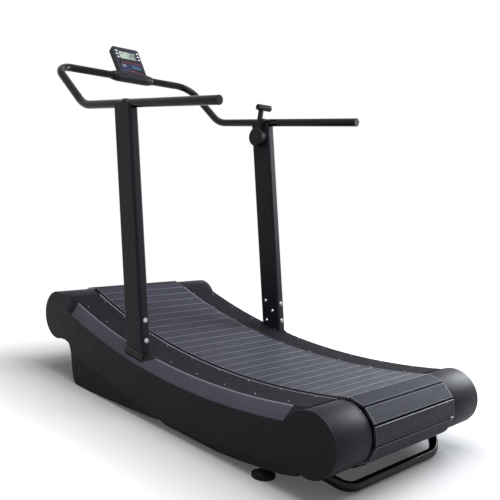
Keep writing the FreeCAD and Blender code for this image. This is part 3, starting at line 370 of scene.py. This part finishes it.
BRUSHED_FINISHES = {
    "slat": dict(name="slat_metal", rough=0.34, metallic=0.9, scale=420.0, stretch=0.04,
                 colours=((0.26, 0.26, 0.28), (0.36, 0.36, 0.38)), gloss=(0.28, 0.42),
                 depth=0.00005),
    "machined": dict(name="machined_steel", rough=0.3, metallic=0.95, scale=700.0,
                     stretch=0.05, colours=((0.40, 0.40, 0.41), (0.58, 0.58, 0.59)),
                     gloss=(0.22, 0.38), depth=0.00003),
}


def edge_radius(s):
    """Distance from the running curve's axis, which is constant along the deck's edges."""
    dy = s.math("SUBTRACT", s.y, CENTRE.y)
    dz = s.math("SUBTRACT", s.z, CENTRE.z)
    return s.length(dy, dz)


def add_trim_highlight(s):
    """Painted highlight line along the trim's inner edge."""
    line = s.span(edge_radius(s), RAIL_TOP_R + TRIM_HIGHLIGHT_FROM, RAIL_TOP_R + TRIM_HIGHLIGHT_TO,
                  1.0, 0.0)
    s.colour(s.mix(line, s.held_colour(), TRIM_HIGHLIGHT))


def ridges(s, operation):
    """Rounded ridges on one diagonal of the deck: ADD and SUBTRACT are the two diagonals."""
    wave = 2 * math.pi / KNURL_PITCH
    diagonal = s.math(operation, s.x, s.y)
    return s.math("ABSOLUTE", s.math("SINE", s.math("MULTIPLY", diagonal, wave / 2)))


def add_knurl(s):
    """Diamond knurl on the foot rails, with painted shade in its grooves, and a painted
    highlight line near their inner edge.
    """
    both = s.math("MINIMUM", ridges(s, "ADD"), ridges(s, "SUBTRACT"))
    knurl = s.span(both, KNURL_LOW, KNURL_HIGH)
    # The knurl's grooves take a darker colour: painted shade.
    dark = s.mix(knurl, shade(RAIL, KNURL_SHADE), s.held_colour())
    # Mask of the painted highlight line near the rail's inner edge.
    inner = s.span(s.math("ABSOLUTE", s.x), RAIL_HIGHLIGHT_FROM, RAIL_HIGHLIGHT_TO, 1.0, 0.0)
    s.colour(s.mix(inner, dark, RAIL_HIGHLIGHT))
    s.bump(knurl, KNURL_DEPTH)


def add_scuffs(s):
    """Paler wear on the treads, drawn out across the belt."""
    worn = s.noise(SCUFF_SCALE, SCUFF_DETAIL, SCUFF_ROUGHNESS, stretch=SCUFF_STRETCH)
    scuff = s.math("MULTIPLY", s.span(worn, SCUFF_LOW, SCUFF_HIGH), SCUFF_STRENGTH)
    s.colour(s.mix(scuff, s.held_colour(), shade(TREAD, SCUFF_SHADE)))


def add_display_fade(s):
    fade = s.span(s.x, DISPLAY_FROM, DISPLAY_TO)
    s.colour(s.mix(fade, s.held_colour(), DISPLAY_SHADED))


def zinc_finish():
    """Plated steel with a fine spangle."""
    s = Shader("zinc_steel", rough=ZINC_ROUGH, metallic=ZINC_METALLIC)
    spot = s.cells(SPANGLE_SCALE)
    s.colour(s.ramp(spot, [(SPANGLE_LOW, shade(ZINC, SPANGLE_DARK)),
                           (SPANGLE_HIGH, shade(ZINC, SPANGLE_LIGHT))]))
    gloss = s.noise(ZINC_GLOSS_SCALE, GLOSS_DETAIL)
    s.rough(s.span(gloss, NOISE_LOW, NOISE_HIGH, ZINC_GLOSS_LOW, ZINC_GLOSS_HIGH))
    return s


def make_materials():
    made = {key: plain_finish(**values) for key, values in PLAIN_FINISHES.items()}
    for key, values in BRUSHED_FINISHES.items():
        made[key] = brushed_finish(**values)
    made["zinc"] = zinc_finish()
    add_trim_highlight(made["trim"])
    add_knurl(made["rail"])
    add_scuffs(made["tread"])
    add_display_fade(made["display"])
    return {key: value.mat for key, value in made.items()}


MATS = make_materials()

LOOKS = {
    "tube": ["handrail", "lift_handle", "rail_clamps"],
    "post": ["upright_left", "upright_right"],
    "frame": ["base_frame", "frame_gussets", "rail_ledges", "post_sockets", "side_plates",
              "drum_bearings", "front_drum", "rear_drum", "magnet_carrier"],
    "cover": ["side_cover_left", "side_cover_right"],
    "skirt": ["front_skirts"],
    "trim": ["edge_trims"],
    "rail": ["foot_rail_left", "foot_rail_right"],
    "cap": ["rear_cap_left", "rear_cap_right", "front_cap_left", "front_cap_right"],
    "slat": ["top_slats", "front_slats", "rear_slats", "return_slats"],
    "tread": ["top_treads", "front_treads", "rear_treads", "return_treads"],
    "zinc": ["upright_bolts", "wheel_axles"],
    "screw": ["foot_rail_screws"],
    "machined": ["front_shaft", "rear_shaft", "brake_disc"],
    "rubber": ["foot_pads", "foot_studs", "carrier_belts", "transport_wheel_left",
               "transport_wheel_right", "brake_cable"],
    "plastic": ["rail_end_plugs", "lever_housing", "lever_arm", "lever_grip", "console_back",
                "console_clamp"],
    "console": ["console_housing"],
    "roller": ["support_rollers"],
    "display": ["console_lens"],
    "label": ["console_label"],
    "button": [n for n in NODES if n.startswith("button_")],
}

# Width of the rounding on the sharp edges of each node that shows them.
EASED = {"side_cover_left": 0.0014, "side_cover_right": 0.0014, "front_skirts": 0.0010,
         "edge_trims": 0.0008, "front_cap_left": 0.0010, "front_cap_right": 0.0010,
         "rear_cap_left": 0.0010, "rear_cap_right": 0.0010, "lever_arm": 0.0012,
         "rail_clamps": 0.0006}
WELD_DISTANCE = 0.00002
FLAT_ANGLE = math.radians(0.6)
EDGE_ANGLE = math.radians(40.0)
EDGE_SEGMENTS = 3


def paint(obj, material):
    obj.data.materials.clear()
    obj.data.materials.append(material)


def ease_edges(obj, width):
    """Join the imported triangles into faces and round their sharp edges."""
    weld = obj.modifiers.new("weld", "WELD")
    weld.merge_threshold = WELD_DISTANCE
    flat = obj.modifiers.new("flat", "DECIMATE")
    flat.decimate_type = "DISSOLVE"
    flat.angle_limit = FLAT_ANGLE
    bevel = obj.modifiers.new("bevel", "BEVEL")
    bevel.width = width
    bevel.segments = EDGE_SEGMENTS
    bevel.limit_method = "ANGLE"
    bevel.angle_limit = EDGE_ANGLE
    bevel.harden_normals = False
    bevel.use_clamp_overlap = True


for look, names in LOOKS.items():
    for name in names:
        paint(NODES[name], MATS[look])

for name, width in EASED.items():
    ease_edges(NODES[name], width)


# ---- mesh helpers -------------------------------------------------------------------
def new_piece(name, bm, looks, body):
    """Finish bm as a piece that rides on a body; looks are its materials in order."""
    bmesh.ops.recalc_face_normals(bm, faces=bm.faces)
    mesh = bpy.data.meshes.new(name)
    bm.normal_update()
    bm.to_mesh(mesh)
    bm.free()
    obj = bpy.data.objects.new(name, mesh)
    bpy.context.scene.collection.objects.link(obj)
    for look in looks:
        mesh.materials.append(MATS[look])
    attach(obj, body)
    return obj


def slab(bm, low, high, index=0):
    """Closed solid between two matching rings of points; gives the faces on its sides."""
    rings = [[bm.verts.new(p) for p in ring] for ring in (low, high)]
    faces = [bm.faces.new(list(reversed(rings[0]))), bm.faces.new(rings[1])]
    for i in range(len(low)):
        j = (i + 1) % len(low)
        faces.append(bm.faces.new((rings[0][i], rings[0][j], rings[1][j], rings[1][i])))
    for face in faces:
        face.material_index = index
    return faces[2:]


def prism(bm, outline, x0, x1, matrix, index=0):
    """Closed prism of a (y, z) outline between x0 and x1; gives the faces on its sides."""
    ends = [[matrix @ Vector((x, y, z)) for y, z in outline] for x in (x0, x1)]
    return slab(bm, ends[0], ends[1], index)


def block(bm, low, high, matrix, index=0):
    outline = [(low[1], low[2]), (high[1], low[2]), (high[1], high[2]), (low[1], high[2])]
    prism(bm, outline, low[0], high[0], matrix, index)


# ---- slat treads --------------------------------------------------------------------
PAD_LOOKS = ("tread", "groove_shade", "edge_highlight")
PAD_TOP = 0
# Slot for painted shade in the grooves and on the pad's sides and ends.
PAD_SHADE = 1
# Slot for the painted highlight on the pad's edges.
PAD_HIGHLIGHT = 2
RUN_BODIES = {"top": "top_run", "front": "front_drum_set", "return": "return_run",
              "rear": "rear_drum_set"}


def belt_path():
    """Frames of every slat round the loop, with the run each one belongs to."""
    rise = CENTRE - REAR_AXLE
    ahead = CENTRE - FRONT_AXLE
    rear_angle = math.atan2(rise.z, rise.y)
    front_angle = math.atan2(ahead.z, ahead.y)
    bottom = FRONT_AXLE - REAR_AXLE
    slope = math.atan2(bottom.z, bottom.y)
    bottom_angle = slope - math.pi / 2
    lengths = [BELT_R * (front_angle - rear_angle), DRUM_R * (front_angle - bottom_angle),
               bottom.length, DRUM_R * (bottom_angle + 2 * math.pi - rear_angle)]
    pitch = sum(lengths) / SLAT_COUNT
    for i in range(SLAT_COUNT):
        s = (FIRST_SLAT + i) * pitch
        run = 0
        while run < 3 and s > lengths[run]:
            s -= lengths[run]
            run += 1
        s += BELT_LEAD
        if run == 0:
            yield "top", CENTRE, -BELT_R, rear_angle + s / BELT_R
        elif run == 1:
            yield "front", FRONT_AXLE, DRUM_R, front_angle - s / DRUM_R
        elif run == 2:
            yield "return", FRONT_AXLE - bottom.normalized() * s, DRUM_R, bottom_angle
        else:
            yield "rear", REAR_AXLE, DRUM_R, bottom_angle - s / DRUM_R


def slat_matrix(origin, radius, angle):
    out = Vector((0, math.cos(angle), math.sin(angle)))
    place = Matrix.Translation(origin + out * radius)
    return place @ Matrix.Rotation(angle - math.pi / 2, 4, "X")


def add_pad_body(bm, matrix, mid, shoulder):
    """The pad below its grooves, in a darker colour that paints shade, with a painted
    highlight on the chamfer along both sides.
    """
    half = TREAD_HALF_WIDTH
    high = TREAD_HIGH - TREAD_CHAMFER
    outline = [(-half, TREAD_LOW), (half, TREAD_LOW), (half, high), (shoulder, mid),
               (-shoulder, mid), (-half, high)]
    sides = prism(bm, outline, -TREAD_HALF_LENGTH, TREAD_HALF_LENGTH, matrix, PAD_SHADE)
    for number in (2, 4):
        sides[number].material_index = PAD_HIGHLIGHT


def add_pad_border(bm, matrix, side, mid, shoulder):
    """The raised border along one side of the pad, and across the end on that side; its
    outer slope and the strip at the pad's end carry a painted highlight.
    """
    top = TREAD_HIGH
    brow = TREAD_HALF_WIDTH - TREAD_CHAMFER
    inner = brow - BORDER_WIDTH
    reach = TREAD_HALF_LENGTH - END_EDGE
    slope = [(side * inner, mid), (side * shoulder, mid), (side * brow, top),
             (side * inner, top)]
    sides = prism(bm, slope, -reach, reach, matrix, PAD_TOP)
    sides[1].material_index = PAD_HIGHLIGHT
    x0, x1 = sorted((side * reach, side * (TREAD_HALF_LENGTH - END_WIDTH)))
    block(bm, (x0, -inner, mid), (x1, inner, top), matrix, PAD_TOP)
    x0, x1 = sorted((side * TREAD_HALF_LENGTH, side * reach))
    block(bm, (x0, -shoulder, mid), (x1, shoulder, top - END_EDGE_DROP), matrix, PAD_HIGHLIGHT)


def add_pad_ribs(bm, matrix, mid):
    """Ribs across the belt, between the borders."""
    inner = TREAD_HALF_WIDTH - TREAD_CHAMFER - BORDER_WIDTH - RIB_SIDE_GAP
    pitch = 2 * inner / RIB_COUNT
    reach = TREAD_HALF_LENGTH - END_WIDTH - RIB_END_GAP
    for i in range(RIB_COUNT):
        y = -inner + (i + 0.5) * pitch
        rib = [(y - pitch * RIB_FOOT, mid), (y + pitch * RIB_FOOT, mid),
               (y + pitch * RIB_TOP, TREAD_HIGH), (y - pitch * RIB_TOP, TREAD_HIGH)]
        prism(bm, rib, -reach, reach, matrix, PAD_TOP)


def add_tread(bm, matrix):
    """Grooved rubber pad: body in painted shade, borders with a painted highlight on their
    edge, and ribs between them.
    """
    mid = TREAD_HIGH - GROOVE_DEPTH
    shoulder = TREAD_HALF_WIDTH - TREAD_CHAMFER + GROOVE_DEPTH
    add_pad_body(bm, matrix, mid, shoulder)
    for side in (-1, 1):
        add_pad_border(bm, matrix, side, mid, shoulder)
    add_pad_ribs(bm, matrix, mid)


def build_treads():
    meshes = {}
    for run, origin, radius, angle in belt_path():
        if run not in meshes:
            meshes[run] = bmesh.new()
        add_tread(meshes[run], slat_matrix(origin, radius, angle))
    for run, bm in meshes.items():
        obj = new_piece("tread_pads_" + run, bm, PAD_LOOKS, RUN_BODIES[run])
        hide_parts(run + "_treads")


build_treads()


# ---- console face -------------------------------------------------------------------
ROOT_BODY = body_of(NODES["console_label"])[0]
SEGMENTS = {"1": "bc", "2": "abged", "4": "fgbc", "8": "abcdefg"}

# Face coordinates: x across, u up the face, depth into the console.
LENS_U = 0.118
LENS_DEPTH = 0.0019
SEGMENT_NEAR = 0.00062
SEGMENT_FAR = 0.00082
SEGMENT_WIDTH = 0.22
PRINT_NEAR = -0.00012
PRINT_FAR = 0.00002

# Digits, x of the first, step to the next, u, width of one, height.
READOUTS = (("24", 0.0100, 0.0190, 0.1030, 0.0150, 0.0320),
            ("888", -0.0420, 0.0075, 0.1220, 0.0052, 0.0095),
            ("11", -0.0400, 0.0075, 0.1010, 0.0052, 0.0095))

# Low x, high x, low u and high u of the plain bars of each ink.
LABEL_BARS = {
    "maroon": ((-0.050, 0.0680, 0.0660, 0.0760),),
    "pale": ((-0.058, -0.030, 0.0550, 0.0580), (-0.052, -0.020, 0.0490, 0.0520),
             (-0.058, -0.036, 0.0430, 0.0460)),
    "blue": ((-0.014, 0.0620, 0.0530, 0.0630), (-0.060, 0.0000, 0.0300, 0.0390)),
    "teal": ((-0.004, 0.0400, 0.0480, 0.0515), (0.0040, 0.0600, 0.0380, 0.0460)),
    "grey": ((-0.060, -0.018, 0.0170, 0.0210),),
    "red": ((-0.016, 0.0250, 0.0150, 0.0225), (0.0290, 0.0600, 0.0130, 0.0165)),
}


def face_matrix():
    """Console face: X across, Y into the console, Z up the face, origin at the tube."""
    into = Vector(JOINTS["press_left_1"]["axis"])
    up = Vector((0, -into.z, into.y))
    low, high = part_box("console_lens")
    centre = (Vector(low) + Vector(high)) / 2
    origin = centre - up * LENS_U - into * LENS_DEPTH
    turn = Matrix((Vector((1, 0, 0)), into, up)).transposed().to_4x4()
    return Matrix.Translation(origin) @ turn


def add_digit(bm, digit, x, u, width, height, matrix):
    """Seven-segment numeral in thin raised bars, its lower left corner at (x, u)."""
    bar = width * SEGMENT_WIDTH
    mid = u + height / 2
    top = u + height
    spans = {"a": (x + bar, top - bar, x + width - bar, top),
             "b": (x + width - bar, mid, x + width, top - bar / 2),
             "c": (x + width - bar, u + bar / 2, x + width, mid),
             "d": (x + bar, u, x + width - bar, u + bar),
             "e": (x, u + bar / 2, x + bar, mid),
             "f": (x, mid, x + bar, top - bar / 2),
             "g": (x + bar, mid - bar / 2, x + width - bar, mid + bar / 2)}
    for name in SEGMENTS[digit]:
        x0, u0, x1, u1 = spans[name]
        block(bm, (x0, SEGMENT_NEAR, u0), (x1, SEGMENT_FAR, u1), matrix)


def build_display(place):
    bm = bmesh.new()
    for digits, first, step, u, width, height in READOUTS:
        for i, digit in enumerate(digits):
            add_digit(bm, digit, first + i * step, u, width, height, place)
    new_piece("display_segments", bm, ["digit"], ROOT_BODY)


def build_label(place):
    """Plain bars of colour, in place of any printing."""
    bm = bmesh.new()
    inks = list(INKS)
    for ink, rows in LABEL_BARS.items():
        for x0, x1, u0, u1 in rows:
            block(bm, (x0, PRINT_NEAR, u0), (x1, PRINT_FAR, u1), place, inks.index(ink))
    new_piece("label_print", bm, ["ink_" + ink for ink in inks], ROOT_BODY)


FACE = face_matrix()
build_display(FACE)
build_label(FACE)


# ---- upright boots ------------------------------------------------------------------
TRIM_INNER = 0.391
TRIM_OUTER = 0.428
TRIM_FALL = 0.044
POST_HALF = 0.054
POST_LEAN = math.radians(11)

# Boot: lengths along the trim, W outward from the trim's inner edge, and heights off it.
BOOT_REST_W = 0.012
BOOT_AHEAD = 0.059
BOOT_BEHIND = 0.062
BOOT_INNER_W = 0.001
BOOT_OUTER_W = 0.026
BOOT_CORNER = 0.006
BOOT_TAIL = 0.050
BOOT_UNDER = 0.0002
BOOT_TOP = 0.0016
FIN_INNER_X = 0.4142
FIN_OUTER_X = 0.4160
FIN_ROOT = 0.0010
FIN_STEPS = 6

# Low and high of the fin and of the painted highlight along its top, with the look of each.
FIN_LAYERS = ((0.0, 0.022, 0), (0.022, 0.0232, 1))


def trim_point(side, y, w, lift):
    """Point on the sloping trim, w outward of its inner edge, raised by lift."""
    run = TRIM_OUTER - TRIM_INNER
    radius = RAIL_TOP_R + w / run * TRIM_FALL
    z = CENTRE.z - math.sqrt(radius ** 2 - (y - CENTRE.y) ** 2)
    out = Vector((TRIM_FALL, 0, run)).normalized() * lift
    return Vector((side * (TRIM_INNER + w + out.x), y, z + out.z))


def upright_foot(post):
    """Y of the upright's middle where it meets the trim."""
    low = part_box(post)[0]
    y = low[1] + POST_HALF * math.cos(POST_LEAN)
    z = low[2] + POST_HALF * math.sin(POST_LEAN)
    rest = trim_point(1, y, BOOT_REST_W, 0)
    return y + (rest.z - z) * math.tan(POST_LEAN)


def add_fin_step(bm, side, y0, y1, low, high, index):
    feet = []
    tops = []
    corners = ((FIN_INNER_X, y0), (FIN_OUTER_X, y0), (FIN_OUTER_X, y1), (FIN_INNER_X, y1))
    for x, y in corners:
        foot = trim_point(1, y, FIN_INNER_X - TRIM_INNER, FIN_ROOT)
        feet.append(Vector((side * x, y, foot.z + low)))
        tops.append(Vector((side * x, y, foot.z + high)))
    slab(bm, feet, tops, index)


def build_boot(name, side, post):
    """Thin moulded boot on the trim, with a fin beside the upright's outer face and a
    painted highlight along the fin's top.
    """
    y_post = upright_foot(post)
    front = y_post + BOOT_AHEAD
    back = y_post - BOOT_BEHIND
    corner = back + BOOT_CORNER
    ring = [(front, BOOT_INNER_W), (front, BOOT_OUTER_W), (corner, BOOT_OUTER_W),
            (back - BOOT_TAIL, BOOT_INNER_W)]
    bm = bmesh.new()
    slab(bm, [trim_point(side, y, w, BOOT_UNDER) for y, w in ring],
         [trim_point(side, y, w, BOOT_TOP) for y, w in ring])
    for i in range(FIN_STEPS):
        y0 = corner + (front - corner) * i / FIN_STEPS
        y1 = corner + (front - corner) * (i + 1) / FIN_STEPS
        for low, high, index in FIN_LAYERS:
            add_fin_step(bm, side, y0, y1, low, high, index)
    # The second look is the painted highlight on the fin's top layer.
    new_piece(name, bm, ["plastic", "edge_highlight"], ROOT_BODY)


build_boot("upright_boot_left", -1, "upright_left")
build_boot("upright_boot_right", 1, "upright_right")


# ---- floor, light, camera -----------------------------------------------------------
WORLD_LIGHT = 0.25
WORLD_COLOUR = (0.93, 0.95, 1.0, 1)
WHITE = (1, 1, 1, 1)
FLOOR_HALF = 40.0
FLOOR_SEEN = (0.56, 0.56, 0.56, 1)
FLOOR_BOUNCE = (0.32, 0.32, 0.33, 1)

# The floor glows more away from the machine's footprint, and turns to plain white; the
# weaker glow near the footprint is painted shade round the machine, on top of its real
# shadow.
FOOTPRINT_X = 0.40
FOOTPRINT_Y = 0.87
FLOOR_GLOW_NEAR = 0.07
FLOOR_GLOW_FAR = 0.66
FLOOR_GLOW_REACH = 0.45
WHITE_FROM = 0.3
WHITE_TO = 1.7

CAMERA_PLACE = (-2.0068, -2.0864, 1.0129)
CAMERA_HEADING = math.radians(45.231)
CAMERA_DIP = math.radians(7.036)
CAMERA_ROLL = math.radians(4.597)
CAMERA_LENS = 50.0
CAMERA_SENSOR = 36.0
CAMERA_FAR = 200.0


def background_rays(tree):
    """1 on the rays that show the white background: camera, glossy and transmission."""
    path = tree.nodes.new("ShaderNodeLightPath")
    seen = path.outputs["Is Camera Ray"]
    for name in ("Is Glossy Ray", "Is Transmission Ray"):
        either = tree.nodes.new("ShaderNodeMath")
        either.operation = "MAXIMUM"
        tree.links.new(seen, either.inputs[0])
        tree.links.new(path.outputs[name], either.inputs[1])
        seen = either.outputs[0]
    return seen


def mix_shaders(s, factor, a, b):
    node = s.add("ShaderNodeMixShader")
    s.link(factor, node.inputs[0])
    s.link(a, node.inputs[1])
    s.link(b, node.inputs[2])
    return node.outputs[0]


def plain_diffuse(s, colour):
    node = s.add("ShaderNodeBsdfDiffuse")
    node.inputs["Color"].default_value = colour
    return node.outputs[0]


def past_footprint(s):
    """Distance outside the machine's footprint on the floor."""
    beyond = [s.math("MAXIMUM", s.math("SUBTRACT", s.math("ABSOLUTE", axis), reach), 0.0)
              for axis, reach in ((s.x, FOOTPRINT_X), (s.y, FOOTPRINT_Y))]
    return s.length(beyond[0], beyond[1])


def lit_floor(s, away):
    """The floor that catches the shadow, with a glow that grows with distance; the dim glow
    near the machine adds painted shade.
    """
    glow = s.add("ShaderNodeEmission")
    s.link(s.span(away, 0.0, FLOOR_GLOW_REACH, FLOOR_GLOW_NEAR, FLOOR_GLOW_FAR),
           glow.inputs["Strength"])
    lit = s.add("ShaderNodeAddShader")
    s.link(plain_diffuse(s, FLOOR_SEEN), lit.inputs[0])
    s.link(glow.outputs[0], lit.inputs[1])
    return lit.outputs[0]


def floor_material():
    s = Shader("floor_white")
    s.tree.nodes.remove(s.bsdf)
    away = past_footprint(s)
    fade = s.add("ShaderNodeMapRange")
    fade.interpolation_type = "SMOOTHSTEP"
    fade.inputs["From Min"].default_value = WHITE_FROM
    fade.inputs["From Max"].default_value = WHITE_TO
    s.link(away, fade.inputs["Value"])
    white = s.add("ShaderNodeEmission")
    far = mix_shaders(s, fade.outputs[0], lit_floor(s, away), white.outputs[0])
    seen = mix_shaders(s, background_rays(s.tree), plain_diffuse(s, FLOOR_BOUNCE), far)
    s.link(seen, s.tree.nodes["Material Output"].inputs[0])
    return s.mat


def make_floor():
    bm = bmesh.new()
    bmesh.ops.create_grid(bm, x_segments=1, y_segments=1, size=FLOOR_HALF)
    mesh = bpy.data.meshes.new("floor")
    bm.to_mesh(mesh)
    bm.free()
    floor = bpy.data.objects.new("floor", mesh)
    bpy.context.scene.collection.objects.link(floor)
    mesh.materials.append(floor_material())


def make_world():
    world = bpy.data.worlds.new("studio")
    bpy.context.scene.world = world
    world.use_nodes = True
    tree = world.node_tree
    background = tree.nodes["Background"]
    background.inputs["Color"].default_value = WORLD_COLOUR
    background.inputs["Strength"].default_value = WORLD_LIGHT
    white = tree.nodes.new("ShaderNodeBackground")
    white.inputs["Color"].default_value = WHITE
    white.inputs["Strength"].default_value = 1.0
    mix = tree.nodes.new("ShaderNodeMixShader")
    tree.links.new(background_rays(tree), mix.inputs[0])
    tree.links.new(background.outputs[0], mix.inputs[1])
    tree.links.new(white.outputs[0], mix.inputs[2])
    tree.links.new(mix.outputs[0], tree.nodes["World Output"].inputs[0])


def make_lamp(name, place, target, size, power, colour=(1, 1, 1)):
    """Square area lamp at a place, turned to its target."""
    data = bpy.data.lights.new(name, "AREA")
    data.shape = "RECTANGLE"
    data.size = size
    data.size_y = size
    data.energy = power
    data.color = colour
    lamp = bpy.data.objects.new(name, data)
    lamp.location = place
    lamp.rotation_mode = "QUATERNION"
    lamp.rotation_quaternion = (Vector(target) - Vector(place)).to_track_quat("-Z", "Y")
    bpy.context.scene.collection.objects.link(lamp)


def make_camera():
    """Eye height, heading, dip and roll as the object is seen."""
    ahead = Vector((math.sin(CAMERA_HEADING) * math.cos(CAMERA_DIP),
                    math.cos(CAMERA_HEADING) * math.cos(CAMERA_DIP), -math.sin(CAMERA_DIP)))
    level = Vector((math.cos(CAMERA_HEADING), -math.sin(CAMERA_HEADING), 0))
    high = level.cross(ahead)
    right = math.cos(CAMERA_ROLL) * level + math.sin(CAMERA_ROLL) * high
    up = -math.sin(CAMERA_ROLL) * level + math.cos(CAMERA_ROLL) * high
    data = bpy.data.cameras.new("camera")
    data.lens = CAMERA_LENS
    data.sensor_width = CAMERA_SENSOR
    data.clip_end = CAMERA_FAR
    cam = bpy.data.objects.new("camera", data)
    turn = Matrix((right, up, -ahead)).transposed().to_4x4()
    cam.matrix_world = Matrix.Translation(CAMERA_PLACE) @ turn
    bpy.context.scene.collection.objects.link(cam)
    bpy.context.scene.camera = cam


make_floor()
make_world()
make_lamp("key", place=(3.4, -0.9, 1.9), target=(0, -0.7, 0.3), size=1.8, power=165.0,
          colour=(0.90, 0.94, 1.0))
make_lamp("top", place=(-0.3, -0.8, 4.2), target=(0, -0.3, 0.3), size=3.0, power=118.0)
make_camera()
bpy.context.scene.view_settings.view_transform = "Standard"
